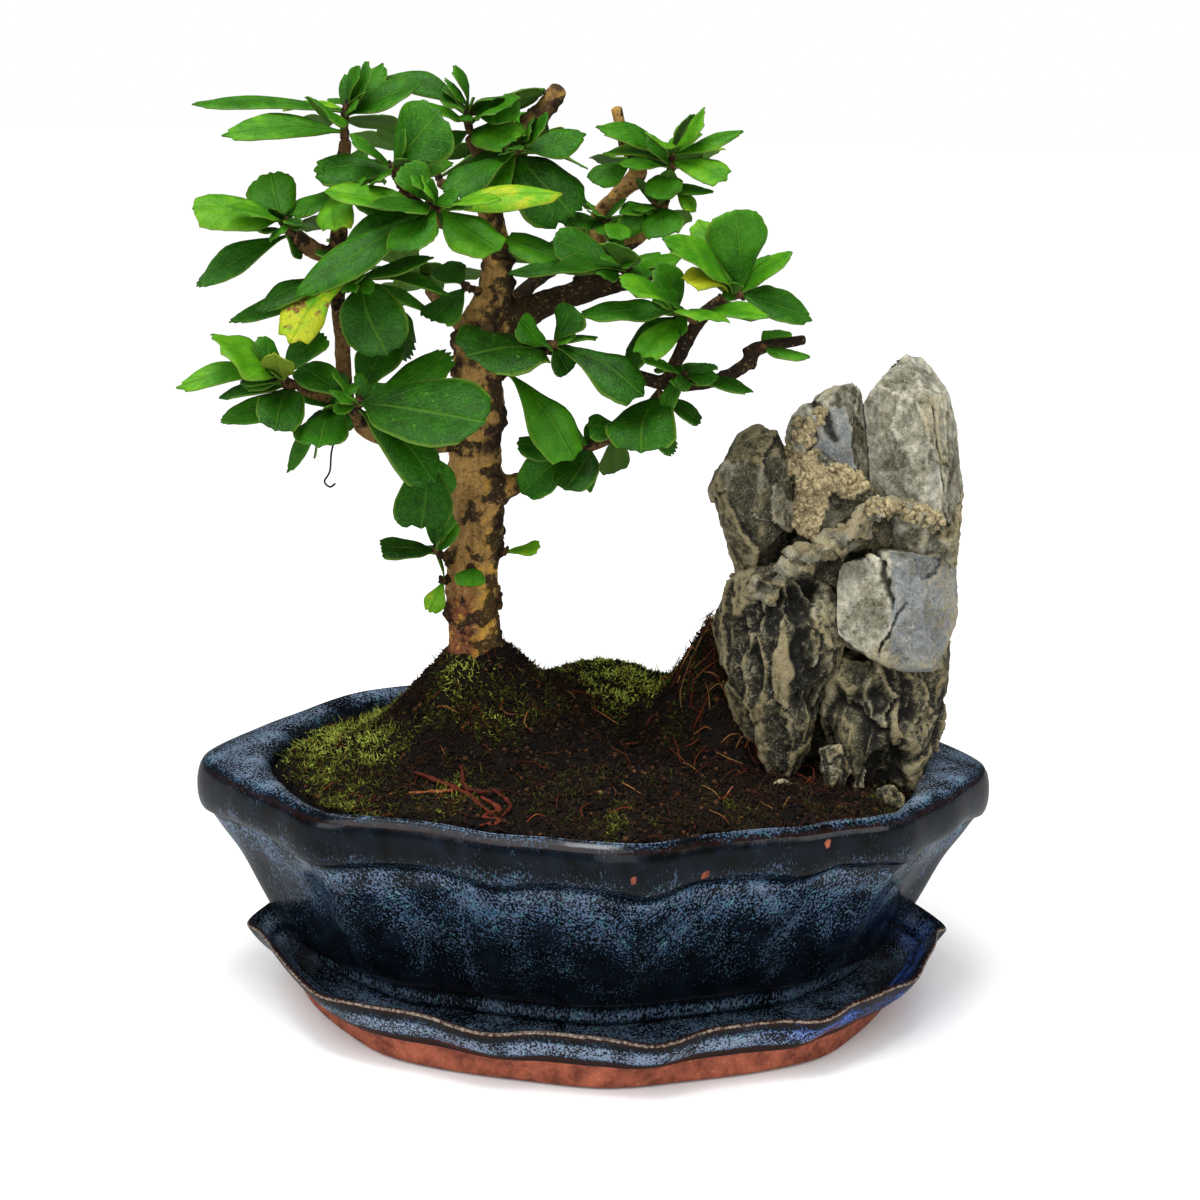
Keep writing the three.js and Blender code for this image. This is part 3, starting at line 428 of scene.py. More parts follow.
def tube(points: Line, radii: tuple[float, ...], sides: int, steps: int, part: int = 0, lumps: float = 0.0,
         seed: float = 0.0) -> Skin:
    """A tapering limb with closed round ends.

    The corner at share s along the line and angle a about it is the line's place there, plus the radius
    times cos a along one side and sin a along the other, swollen by two and by three soft waves around.

    Args:
        points: the points that its middle line goes through.
        radii: the radius at each of them.
        sides: corners in a ring.
        steps: rings along it.
        part: the material's number.
        lumps: how far the skin swells and sinks, as a share of the radius.
        seed: shifts the swellings.

    Returns:
        The skin, marked with `thick`, the radius in millimetres.
    """
    shares = np.linspace(0, 1, steps)
    line = smooth_line(points, shares)
    radius = np.interp(shares, np.linspace(0, 1, len(radii)), radii)[:, None]
    along = unit(np.gradient(line, axis=0))
    spans = np.ptp(np.asarray(points, float), axis=0)
    side = unit(np.cross(np.eye(3)[np.argmin(spans)], along))
    front = np.cross(along, side)
    angle = np.linspace(0, 2 * np.pi, sides, endpoint=False)[None, :]
    way = shares[:, None]
    swell = 1 + lumps * (np.sin(2 * angle + 23 * way + seed) + 0.7 * np.sin(3 * angle - 41 * way))
    reach = (radius * swell)[..., None]
    around = np.cos(angle)[..., None] * side[:, None] + np.sin(angle)[..., None] * front[:, None]
    rings = line[:, None] + reach * around
    skin = shell(rings, line[0] - along[0] * radius[0] * 0.4, line[-1] + along[-1] * radius[-1] * 0.4, part)
    thick = np.concatenate([radius[0], np.repeat(radius[:, 0], sides), radius[-1]])
    return skin.marked(thick=thick)


def scattered(template: Skin, places: Array, frames: Array, marks: dict[str, Array], part: int = 0) -> Skin:
    """Many copies of a small skin, each turned and sized by its own frame.

    Args:
        template: the small skin, about the origin. Its marks are added to each copy's.
        places: where each copy stands.
        frames: a 3 by 3 matrix for each copy, whose rows are its own x, y and z with their lengths.
        marks: values for each copy.
        part: the material's number.

    Returns:
        The copies as one skin.
    """
    size = len(template.points)
    points = np.einsum("ij,njk->nik", template.points, frames) + places[:, None]
    offsets = (size * np.arange(len(places)))[:, None, None]
    faces = [((group[None] + offsets).reshape(-1, group.shape[1]), part) for group, _ in template.faces]
    spread = {n: np.repeat(v, size) for n, v in marks.items()}
    for name, own in template.marks.items():
        spread[name] = spread[name] + np.tile(own, len(places))
    return Skin(points.reshape(-1, 3), faces, spread)


def upright(normals: Array, spin: Array, lean: Array, sizes: Array) -> Array:
    """Frames whose z leans away from a surface's normal.

    Args:
        normals: the surface's directions.
        spin: each copy's turn about its normal, in radians.
        lean: how far its z leans over, as a share of its length.
        sizes: its x, y and z lengths.

    Returns:
        One 3 by 3 matrix for each.
    """
    across = unit(np.cross(normals, [0.31, 0.62, 0.1]))
    other = np.cross(normals, across)
    side = across * np.cos(spin)[:, None] + other * np.sin(spin)[:, None]
    tall = unit(normals + lean[:, None] * side)
    wide = unit(np.cross(tall, side))
    third = np.cross(wide, tall)
    return np.stack([third, wide, tall], 1) * sizes[:, :, None]


def make_piece(name: str, skin: Skin, materials: list[Material], slot: str, *nodes: str) -> Object:
    """Turns a skin into a smooth piece that rides on the plant's body, and hides the CAD nodes that it stands
    for.

    Args:
        name: the piece's name.
        skin: its surface.
        materials: its materials, in the order of their numbers.
        slot: not used.
        *nodes: the CAD nodes that it stands for.

    Returns:
        The piece's object.
    """
    mesh = bpy.data.meshes.new(name)
    corners = np.concatenate([group.ravel() for group, _ in skin.faces])
    sizes = np.concatenate([np.full(len(group), group.shape[1]) for group, _ in skin.faces])
    mesh.vertices.add(len(skin.points))
    mesh.vertices.foreach_set("co", (skin.points * MM).ravel())
    mesh.loops.add(len(corners))
    mesh.loops.foreach_set("vertex_index", corners)
    mesh.polygons.add(len(sizes))
    mesh.polygons.foreach_set("loop_start", np.concatenate([[0], np.cumsum(sizes)[:-1]]))
    parts = np.concatenate([np.full(len(group), part) for group, part in skin.faces])
    mesh.polygons.foreach_set("material_index", parts)
    mesh.polygons.foreach_set("use_smooth", np.ones(len(sizes), bool))
    if skin.uv is not None:
        mesh.uv_layers.new(name="UVMap").data.foreach_set("uv", skin.uv[corners].ravel())
    for mark, values in skin.marks.items():
        mesh.attributes.new(mark, "FLOAT", "POINT").data.foreach_set("value", values.astype(np.float32))
    mesh.update(calc_edges=True)
    piece = bpy.data.objects.new(name, mesh)
    bpy.context.scene.collection.objects.link(piece)
    for material in materials:
        piece.data.materials.append(material)
    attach(piece, ROOT_BODY)
    if nodes:
        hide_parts(*nodes)
    LOG.info("%s: %d faces", piece.name, len(piece.data.polygons))
    return piece


def fused(skin: Skin, voxel: float) -> Skin:
    """One even skin round everything that overlapping closed shells hold.

    Args:
        skin: the shells.
        voxel: the size of the new faces in millimetres.

    Returns:
        The new skin, without marks.
    """
    mesh = bpy.data.meshes.new("rough")
    faces = [tuple(face) for group, _ in skin.faces for face in group.tolist()]
    mesh.from_pydata((skin.points * MM).tolist(), [], faces)
    mesh.update()
    return remeshed(mesh, voxel)


def read_mesh(mesh: bpy.types.Mesh) -> tuple[Array, Array]:
    """Reads a mesh's corners.

    Args:
        mesh: the mesh.

    Returns:
        Its points, one row each, and its faces' corners, one face after the other.
    """
    points = np.zeros(len(mesh.vertices) * 3, np.float32)
    mesh.vertices.foreach_get("co", points)
    corners = np.zeros(len(mesh.loops), np.int32)
    mesh.loops.foreach_get("vertex_index", corners)
    return points.reshape(-1, 3), corners


def remeshed(mesh: bpy.types.Mesh, voxel: float) -> Skin:
    """An even skin over a closed mesh.

    Args:
        mesh: the mesh, in metres. It is removed.
        voxel: the size of the new faces in millimetres.

    Returns:
        The new skin.
    """
    holder = bpy.data.objects.new("rough", mesh)
    bpy.context.scene.collection.objects.link(holder)
    remesh = holder.modifiers.new("Remesh", "REMESH")
    remesh.mode = "VOXEL"
    remesh.voxel_size = voxel * MM
    even = holder.evaluated_get(bpy.context.evaluated_depsgraph_get()).to_mesh()
    points, corners = read_mesh(even)
    sizes = np.zeros(len(even.polygons), np.int32)
    even.polygons.foreach_get("loop_total", sizes)
    starts = np.concatenate([[0], np.cumsum(sizes)[:-1]])
    faces = [(corners[starts[sizes == n][:, None] + np.arange(n)].astype(int), 0)
             for n in (3, 4) if (sizes == n).any()]
    bpy.data.objects.remove(holder)
    bpy.data.meshes.remove(mesh)
    return Skin(points.astype(float) / MM, faces)


def normals_of(skin: Skin) -> Array:
    """Outward direction at each corner: the sum of its faces' directions, larger faces counting for more.

    Args:
        skin: the surface.

    Returns:
        One direction a corner.
    """
    total = np.zeros_like(skin.points)
    for group, _ in skin.faces:
        corners = skin.points[group]
        face = np.cross(corners[:, 2] - corners[:, 0], corners[:, -1] - corners[:, 1])
        for k in range(group.shape[1]):
            np.add.at(total, group[:, k], face)
    return unit(total)


def relaxed(skin: Skin, rounds: int, pull: float = 0.5) -> None:
    """Evens out a skin: every corner moves towards the middle of those it is joined to.

    Args:
        skin: the skin, changed in place.
        rounds: how many times.
        pull: how far it moves each time, from 0 to 1.
    """
    edges = np.vstack([np.stack([group[:, k], group[:, (k + 1) % group.shape[1]]], -1)
                       for group, _ in skin.faces for k in range(group.shape[1])])
    count = np.bincount(edges[:, 0], minlength=len(skin.points))[:, None] + 1e-9
    for _ in range(rounds):
        total = np.zeros_like(skin.points)
        for axis in range(3):
            total[:, axis] = np.bincount(edges[:, 0], skin.points[edges[:, 1], axis], len(skin.points))
        skin.points += pull * (total / count - skin.points)


# Patterns through space


def hashed(x: Array, y: Array, z: Array, seed: int) -> Array:
    """A fixed scrambled value for each whole-number place.

    Args:
        x: the places along x.
        y: the places along y.
        z: the places along z.
        seed: which pattern.

    Returns:
        Values from 0 to 1.
    """
    key = (x * 73856093) ^ (y * 19349663) ^ (z * 83492791) ^ (seed * 2654435761)
    key = ((key & 0xFFFFFFFF) * 1274126177) & 0xFFFFFFFF
    key = (((key ^ (key >> 15)) & 0xFFFFFFFF) * 668265263) & 0xFFFFFFFF
    return ((key ^ (key >> 13)) & 0xFFFFFF) / 0xFFFFFF


def waves(points: Array, period: Period, seed: int) -> Array:
    """Soft random hills and hollows.

    Each lattice place has a scrambled value, and a point takes the mean of the eight round it, weighted by
    3t^2 - 2t^3 of its share t of the way between them.

    Args:
        points: where to read them.
        period: the lattice's step in millimetres, one number or three.
        seed: which pattern.

    Returns:
        Values from -1 to 1.
    """
    place = points / np.asarray(period, float)
    low = np.floor(place)
    share = place - low
    share = share * share * (3 - 2 * share)
    x, y, z = low.astype(np.int64).T
    total = np.zeros(len(points))
    for dx, dy, dz in product((0, 1), repeat=3):
        weight = np.ones(len(points))
        for axis, step in enumerate((dx, dy, dz)):
            weight *= share[:, axis] if step else 1 - share[:, axis]
        total += weight * hashed(x + dx, y + dy, z + dz, seed)
    return 2 * total - 1


def layered(points: Array, period: Period, seed: int, layers: int = 4, gain: float = 0.5) -> Array:
    """Waves with finer and lower ones on them, each half as long as the last.

    Args:
        points: where to read them.
        period: the longest step in millimetres.
        seed: which pattern.
        layers: how many.
        gain: each one's height against the last.

    Returns:
        Values from about -1 to 1.
    """
    scale = np.asarray(period, float)
    return sum(gain**k * waves(points, scale / 2**k, seed + 17 * k) for k in range(layers))


def ridges(points: Array, period: Period, seed: int, layers: int = 3, gain: float = 0.5) -> Array:
    """Sharp crests with round hollows: one minus 2.6 times the size of each layer of waves.

    Args:
        points: where to read them.
        period: the longest step in millimetres.
        seed: which pattern.
        layers: how many.
        gain: each one's height against the last.

    Returns:
        Values from about -1 to 1.
    """
    scale = np.asarray(period, float)
    layer_waves = (np.abs(waves(points, scale / 2**k, seed + 31 * k)) for k in range(layers))
    return sum(gain**k * (1 - 2.6 * size) for k, size in enumerate(layer_waves)) / (1 + gain)


def pebbles(points: Array, period: Period, seed: int) -> Array:
    """Round bumps packed side by side.

    Each lattice cell has one scrambled middle, and the height falls with the distance to the nearest one.

    Args:
        points: where to read them.
        period: the cells' size in millimetres.
        seed: which pattern.

    Returns:
        One at a middle, falling to about zero between them.
    """
    place = points / np.asarray(period, float)
    cell = np.floor(place).astype(np.int64)
    nearest = np.full(len(points), 9.0)
    for step in product((-1, 0, 1), repeat=3):
        x, y, z = (cell + step).T
        middle = cell + step + np.stack([hashed(x, y, z, seed + k) for k in range(3)], -1)
        nearest = np.minimum(nearest, ((place - middle) ** 2).sum(-1))
    return 1 - np.sqrt(nearest)


def chips(points: Array, period: Period, seed: int) -> tuple[Array, Array]:
    """Flat chips side by side, as on broken stone.

    Each lattice cell has one scrambled middle, tilt and level. A point belongs to the nearest middle and has
    its level plus the tilt times the way to it.

    Args:
        points: where to read them.
        period: the chips' size in millimetres.
        seed: which pattern.

    Returns:
        The height, from about -1 to 1, and one on the seams between chips, falling to zero beside them.
    """
    place = points / np.asarray(period, float)
    cell = np.floor(place).astype(np.int64)
    nearest, second = np.full(len(points), 9.0), np.full(len(points), 9.0)
    height = np.zeros(len(points))
    for step in product((-1, 0, 1), repeat=3):
        x, y, z = (cell + step).T
        way = place - (cell + step + np.stack([hashed(x, y, z, seed + k) for k in range(3)], -1))
        reach = (way**2).sum(-1)
        tilt = np.stack([hashed(x, y, z, seed + k) for k in (3, 4, 5)], -1) - 0.5
        own = 1.8 * (way * tilt).sum(-1) + hashed(x, y, z, seed + 6) - 0.5
        closer = reach < nearest
        second = np.where(closer, nearest, np.minimum(second, reach))
        height = np.where(closer, own, height)
        nearest = np.where(closer, reach, nearest)
    return height, np.clip(1 - (np.sqrt(second) - np.sqrt(nearest)) / 0.12, 0, 1)


# Finishes


@dataclass(frozen=True)
class Glaze:
    """Reduction-fired stoneware glaze: near-black, with blue crystals that ran down in streaks.

    It is glassy, so it mirrors what stands round it, and where it ran thin over an edge the brown clay shows.
    """

    name: str = "floated_blue_stoneware_glaze"
    dark: tuple[str, str] = ("#050708", "#0e1620")
    crystals: tuple[str, ...] = ("#1c3a4a", "#3a6684", "#596482", "#2e6870", "#90b0c4")
    pale: str = "#9aaac0"
    cobalt: str = "#2f66e0"
    thin: str = "#2a150d"
    worn: str = "#a59684"
    clay: tuple[str, str, str] = ("#632e20", "#a65a40", "#d8a070")
    crystal_size: float = 0.62
    run: Place = (1, 1, 2.1)
    roughness: tuple[float, float] = (0.15, 0.8)

    def crystal(self, tree: Tree, bloom: Socket) -> Socket:
        """The crystals' colour: one of their hues with fine pale specks painted as glints, paler where they
        crowd, and cobalt where it pooled.

        Args:
            tree: the node tree.
            bloom: how thick the crystals stand.

        Returns:
            The colour's output.
        """
        spread = tuple((0.28 + 0.11 * i, code) for i, code in enumerate(self.crystals))
        hue = add_node(tree, "ValToRGB", {0: Grain(3.2, 4, 0.7, self.run).lay(tree)}, stops=spread)
        glint = Grain(0.42, 2, 0.6, self.run).lay(tree)
        glint = add_node(tree, "MapRange", {0: glint, 1: 0.58, 2: 0.7, 3: 0, 4: 0.4})
        crowd = add_node(tree, "MapRange", {0: bloom, 1: 0.9, 2: 1.3, 3: 0, 4: 0.5})
        share = add_node(tree, "Math", {0: glint, 1: crowd}, operation="ADD")
        hue = add_node(tree, "Mix", {0: share, 6: hue, 7: self.pale}, 2, data_type="RGBA")
        return Coat(self.cobalt, 0, 1, mark="cobalt").over(tree, hue)

    def build(self) -> Material:
        """Builds the finish.

        Returns:
            The material.
        """
        material, tree = new_material(self.name)
        bloom = add_node(tree, "Attribute", {}, "Fac", attribute_name="bloom")
        fine = Grain(self.crystal_size, 4, 0.62, self.run).lay(tree)
        crowd = add_node(tree, "MapRange", {0: bloom, 1: 0, 2: 1, 3: -0.1, 4: 0.09})
        streak = Grain(11, 3, along=self.run, spread=(-0.09, 0.09)).lay(tree)
        level = add_node(tree, "Math", {0: fine, 1: streak}, operation="ADD")
        level = add_node(tree, "Math", {0: level, 1: crowd}, operation="ADD")
        speck = add_node(tree, "MapRange", {0: level, 1: 0.565, 2: 0.65})
        cover = add_node(tree, "MapRange", {0: bloom, 1: 0, 2: 1.15, 3: 0.24, 4: 0.9})
        share = add_node(tree, "Math", {0: speck, 1: cover}, operation="MULTIPLY")
        ground = Coat(self.dark[1], 0.35, 0.7, grain=Grain(6)).over(tree, self.dark[0])
        layers = {0: share, 6: ground, 7: self.crystal(tree, bloom)}
        colour = add_node(tree, "Mix", layers, 2, data_type="RGBA")
        colour = Coat(self.thin, 0.85, 1.35, 0.9, Grain(1.6, gain=0.7), "thin").over(tree, colour)
        colour = Coat(self.worn, 1.2, 1.45, 0.75, Grain(0.9, gain=0.8), "worn").over(tree, colour)
        fired = Coat(self.clay[1], 0.35, 0.68, grain=Grain(5, 5, 0.7)).over(tree, self.clay[0])
        fired = Coat(self.clay[2], 0.7, 0.74, 0.8, Grain(0.9, 2)).over(tree, fired)
        bare = add_node(tree, "MapRange", {0: level_of(tree, (), "clay"), 1: 0.45, 2: 0.6})
        colour = add_node(tree, "Mix", {0: bare, 6: colour, 7: fired}, 2, data_type="RGBA")
        rough = add_node(tree, "MapRange", {0: bare, 3: self.roughness[0], 4: self.roughness[1]})
        swell = {0: fine, 1: 0.12, 2: Grain(6, 1).lay(tree)}
        height = add_node(tree, "Math", swell, operation="MULTIPLY_ADD")
        close_material(tree, height, 0.3, 0.4, Base_Color=colour, Roughness=rough, IOR=1.5,
                       Specular_IOR_Level=0.27)
        return material


@dataclass(frozen=True)
class LeafGreen:
    """A tough evergreen leaf: softly shining and puckered on top, dull and paler beneath, with sunk veins."""

    name: str = "fukien_tea_leaf"
    shades: Stops = ((0.0, "#0a2a00"), (0.35, "#185000"), (0.62, "#347404"), (0.85, "#609a10"),
                     (1.0, "#a6aa18"))
    under: str = "#4a6c22"
    vein: str = "#5f8c28"
    mottle: str = "#4a8414"
    rim: str = "#7c9636"
    dry: str = "#6e3d22"
    hairs_and_sheen: str = "#9db56a"
    side_veins: float = 6.5
    roughness: tuple[float, float] = (0.38, 0.7)
    pucker: Grain = Grain(0.7, 4, 0.72)

    def veins(self, tree: Tree) -> Socket:
        """The midrib and, weaker, the side veins, which climb at a slant from it to the rim.

        Args:
            tree: the node tree.

        Returns:
            One on the midrib and less on a side vein.
        """
        uv = add_node(tree, "UVMap", {}, uv_map="UVMap")
        side, along = (add_node(tree, "SeparateXYZ", {0: uv}, axis) for axis in (0, 1))
        side = add_node(tree, "MapRange", {0: side, 3: -1, 4: 1})
        across = add_node(tree, "Math", {0: side}, operation="ABSOLUTE")
        climb = add_node(tree, "Math", {0: across, 1: -0.33, 2: along}, operation="MULTIPLY_ADD")
        turns = add_node(tree, "Math", {0: climb, 1: self.side_veins, 2: 0.5}, operation="MULTIPLY_ADD")
        away = add_node(tree, "Math", {0: turns, 1: 0.5}, operation="PINGPONG")
        middle = add_node(tree, "MapRange", {0: across, 1: 0.02, 2: 0.07, 3: 1, 4: 0})
        fine = add_node(tree, "MapRange", {0: away, 1: 0.015, 2: 0.07, 3: 0.3, 4: 0})
        return add_node(tree, "Math", {0: middle, 1: fine}, operation="MAXIMUM")

    def build(self) -> Material:
        """Builds the finish.

        Returns:
            The material.
        """
        material, tree = new_material(self.name)
        veins = self.veins(tree)
        tint = level_of(tree, (Grain(7, 4, 0.65, spread=(-0.15, 0.15)),), "tint")
        colour = add_node(tree, "ValToRGB", {0: tint}, stops=self.shades)
        held = add_node(tree, "MapRange", {0: tint, 1: 0, 2: 0.4, 3: 0.45, 4: 1})
        colour = Coat(self.mottle, 0.46, 0.7, 0.55, self.pucker).over(tree, colour, held)
        # Pale specks: the leaf's fine hairs, and painted sheen, more on pale leaves.
        held = add_node(tree, "MapRange", {0: tint, 1: 0.05, 2: 0.5, 3: 0.3, 4: 1})
        colour = Coat(self.hairs_and_sheen, 0.64, 0.72, 0.28, Grain(0.45, 2, 0.6)).over(tree, colour, held)
        colour = Coat(self.rim, 0.9, 1.0, 0.45, mark="rim").over(tree, colour)
        share = add_node(tree, "Math", {0: veins, 1: 0.24}, operation="MULTIPLY")
        colour = add_node(tree, "Mix", {0: share, 6: colour, 7: self.vein}, 2, data_type="RGBA")
        colour = Coat(self.under, 0, 1, 0.7, mark="under").over(tree, colour)
        dried = Grain(4, 4, 0.7, spread=(-0.4, 0.4))
        colour = Coat(self.dry, 0.55, 0.75, 1, dried, "scorch").over(tree, colour)
        dull = {0: level_of(tree, (), "under"), 3: self.roughness[0], 4: self.roughness[1]}
        rough = add_node(tree, "MapRange", dull)
        raised = add_node(tree, "Math", {0: self.pucker.lay(tree), 1: 0.9}, operation="MULTIPLY")
        height = add_node(tree, "Math", {0: raised, 1: veins}, operation="SUBTRACT")
        close_material(tree, height, 0.36, 0.85, Base_Color=colour, Roughness=rough, IOR=1.45,
                       Specular_IOR_Level=0.22, Subsurface_Weight=0.08, Subsurface_Radius=(0.4, 1.0, 0.15),
                       Subsurface_Scale=0.6 * MM)
        return material


@dataclass(frozen=True)
class Finish:
    """A dull natural matter: a ground colour, coats that lie over it and a fine relief.

    Attributes:
        name: the material's name.
        ground: one colour, or a ramp of colours from low to high.
        coats: what lies over it, from below to above.
        relief: the patterns that stand up.
        depth: how far they stand up, in millimetres.
        roughness: how dull it is.
        specular: what is left of the mirror light, some of which open pores swallow.
        mark: the mark that picks from the ramp.
        drift: the pattern that counts with it.
        strength: how strongly the relief tilts the surface.
        ior: index of refraction.
    """

    name: str
    ground: str | Stops
    coats: tuple[Coat, ...]
    relief: tuple[Grain, ...]
    depth: float
    roughness: float
    specular: float
    mark: str = ""
    drift: tuple[Grain, ...] = ()
    strength: float = 1.0
    ior: float = 1.5

    def build(self) -> Material:
        """Builds the finish.

        Returns:
            The material.
        """
        material, tree = new_material(self.name)
        colour = self.ground
        if self.mark:
            level = level_of(tree, self.drift, self.mark)
            colour = add_node(tree, "ValToRGB", {0: level}, stops=self.ground)
        for coat in self.coats:
            colour = coat.over(tree, colour)
        close_material(tree, level_of(tree, self.relief), self.depth, self.strength, Base_Color=colour,
                       Roughness=self.roughness, IOR=self.ior, Specular_IOR_Level=self.specular)
        return material


LONG, WIDE = (1, 1, 3), (2.5, 2.5, 1)
DRIFT = Grain(3.4, 4, 0.65, spread=(-0.62, 0.55))

# Old bark that dried on the tree. Its tan ridges catch the light, and black algae, red new bark, pale scars
# and dark cracks break them up; thin twigs and buds are darker. The black coat also carries painted shade:
# the shade mark darkens bark that faces right and the limbs under the crown.
BARK = Finish("fukien_tea_bark", "#745830", (
    Coat("#ab874c", 0.36, 0.62, 1, Grain(4, 5, 0.7, LONG)),
    Coat("#6a3022", 0.25, 0.8, 0.85, DRIFT, "red"),
    Coat("#c89a3c", 0.25, 0.8, 0.85, DRIFT, "gold"),
    Coat("#3d2518", 4.2, 1.8, 0.8, mark="thick"),
    # Black algae, darkened further by painted shade from the shade mark.
    Coat("#17130f", 0.545, 0.6, 0.9, Grain(5.6, 4, 0.5), "shade", 0.13),
    Coat("#2f2114", 0.55, 0.63, 0.65, Grain(1.5, 4, 0.7)),
    Coat("#c9a66c", 0.58, 0.7, 0.5, Grain(0.9, 3, 0.7)),
    Coat("#2a1c10", 0.6, 0.68, 0.5, Grain(1.1, 3, 0.6, WIDE)),
    Coat("#231510", 0.2, 0.7, 0.85, mark="knob"),
), (Grain(1.4, 5, 0.75, LONG), Grain(0.7, 3, along=WIDE, gain=0.6)), 0.6, 0.85, 0.2, ior=1.45)

# Limestone that broke and weathered. It is blue-grey where it broke and ochre on its crests, with brown
# stain, pale veins and grains. Near-black is painted shade in its pits, cracks and creases, and stone dirt
# where it cakes the cement.
LIMESTONE = Finish("weathered_limestone", (
    (0.0, "#211f17"), (0.35, "#46432f"), (0.62, "#7b7968"), (1.0, "#bab7a5"),
), (
    Coat("#71777c", 0.35, 0.85, 0.7, Grain(6, 4, 0.65, spread=(-0.35, 0.35)), "blue"),
    Coat("#4c462c", 0.5, 0.66, 0.6, Grain(8, 6, 0.75)),
    Coat("#93855f", 0.5, 1.1, 0.7, Grain(2, 4, 0.7, spread=(-0.4, 0.4)), "crest"),
    Coat("#c4bda6", 0.006, 0.0, 0.35, Grain(14, 3, 0.6, lines=True)),
    Coat("#d3cdbb", 0.57, 0.7, 0.45, Grain(0.6, 3, 0.75)),
    Coat("#1d1b14", 0.45, 0.34, 0.75, Grain(0.9, 4, 0.8)),
    # Painted shade in pits, cracks and creases, from the hollow mark.
    Coat("#12110c", 0.25, 1.0, 0.9, Grain(2.5, 4, 0.65, spread=(-0.25, 0.25)), "hollow"),
), (Grain(2.2, 6, 0.75), Grain(0.5, 2, gain=0.3)), 0.8, 0.68, 0.25, "tone",
    (Grain(9, 6, 0.7, spread=(-0.3, 0.3)),))

# Lime cement with coarse sand, pressed in by hand. Tan grains stand in it; its low places are painted dark
# as shade, and some crumbs are darker.
CEMENT = Finish("sandy_cement", "#5e5238", (
    Coat("#c8b88e", 0.36, 0.64, 1, Grain(1.0, 4, 0.8)),
    Coat("#6d6046", 0.45, 0.65, 0.6, Grain(7)),
    Coat("#d8cbab", 0.62, 0.7, 0.7, Grain(0.7, 2)),
    # Painted shade in low places, and darker crumbs.
    Coat("#1e180f", 0.3, 0.9, 0.88, Grain(2, spread=(-0.2, 0.2)), "hollow"),
), (Grain(0.9, 4, 0.8),), 0.6, 0.95, 0.15)


def growth(name: str, shades: Stops, roughness: float = 0.9, size: float = 0.8) -> Finish:
    """Loose matter that takes its colour from the mark hue.

    Args:
        name: the material's name.
        shades: its colours from dark to pale.
        roughness: how dull it is.
        size: millimetres from one lighter place to the next.

    Returns:
        The finish.
    """
    drift = (Grain(size, 3, 0.7, spread=(-0.14, 0.14)),)
    return Finish(name, shades, (), (Grain(size),), 0.3, roughness, 0.15, "hue", drift, 0.6)


# Moist peat is almost black, with brown bits.
SOIL_CRUMB = growth("peaty_soil", (
    (0.0, "#060403"), (0.45, "#120c07"), (0.75, "#291a0e"), (1.0, "#5a3b21")))
# Cushion moss is brown at its foot and where it dried, and yellow-green at its growing tips.
MOSS_SPRIG = growth("cushion_moss", (
    (0.0, "#0d0703"), (0.16, "#3d2010"), (0.32, "#1e1b08"), (0.55, "#363c0e"), (0.78, "#6b6f20"),
    (1.0, "#abba50")), 0.8, 1.6)
# Dried roots are red-brown, and straw-coloured where their skin has gone.
DRY_FIBRE = growth("dry_root_fibre", (
    (0.0, "#190b06"), (0.4, "#46190e"), (0.7, "#6f2c15"), (1.0, "#9a7444")), 0.7, 1.2)


# Pot and saucer


class Outline(Enum):
    """Plan outlines, as quarter points from the front nose to the side tip."""

    LIP = ((0, 90), (28, 82.5), (56, 71), (79, 61), (93, 45.5), (107.5, 27), (120, 0))
    MOUTH = ((0, 83.3), (26, 76.5), (52, 65.8), (73, 56.5), (85.5, 42.5), (94, 24), (98.5, 0))
    DISH = ((0, 89), (30, 83.5), (60, 75), (82, 64), (97.5, 46), (110, 26.5), (116.8, 10.5), (119, 0))

    def around(self, shares: Array) -> Array:
        """Places on the whole outline, its quarter mirrored to the side and the back.

        Args:
            shares: from 0 at the front nose, by +X, once round to 1.

        Returns:
            x and y of each.
        """
        quarter = np.array(self.value, float)
        front, back = quarter[:-1], quarter[:0:-1]
        signs = ((front, 1, -1), (back, 1, 1), (front, -1, 1), (back, -1, -1))
        return smooth_line(np.vstack([part * (sx, sy) for part, sx, sy in signs]), shares, closed=True)


@dataclass(frozen=True)
class Ring:
    """One ring of a thrown and pressed section.

    Attributes:
        outline: the plan outline that it is a scaled copy of.
        width: scale along x.
        depth: scale along y.
        height: height at the front.
        tip: share of the section's change in height at the side tips.
        ledge: share of the ledge's waves, which hang lower at the lobes.
        lobe: millimetres by which the lobes stand out.
        thin: how thin the glaze is.
        clay: one where the clay is bare.
        bloom: how thick the crystals stand.
        worn: one on a rubbed edge.
    """

    outline: Outline
    width: float
    depth: float
    height: float
    tip: float = 0.0
    ledge: float = 0.0
    lobe: float = 0.0
    thin: float = 0.0
    clay: float = 0.0
    bloom: float = 0.5
    worn: float = 0.0


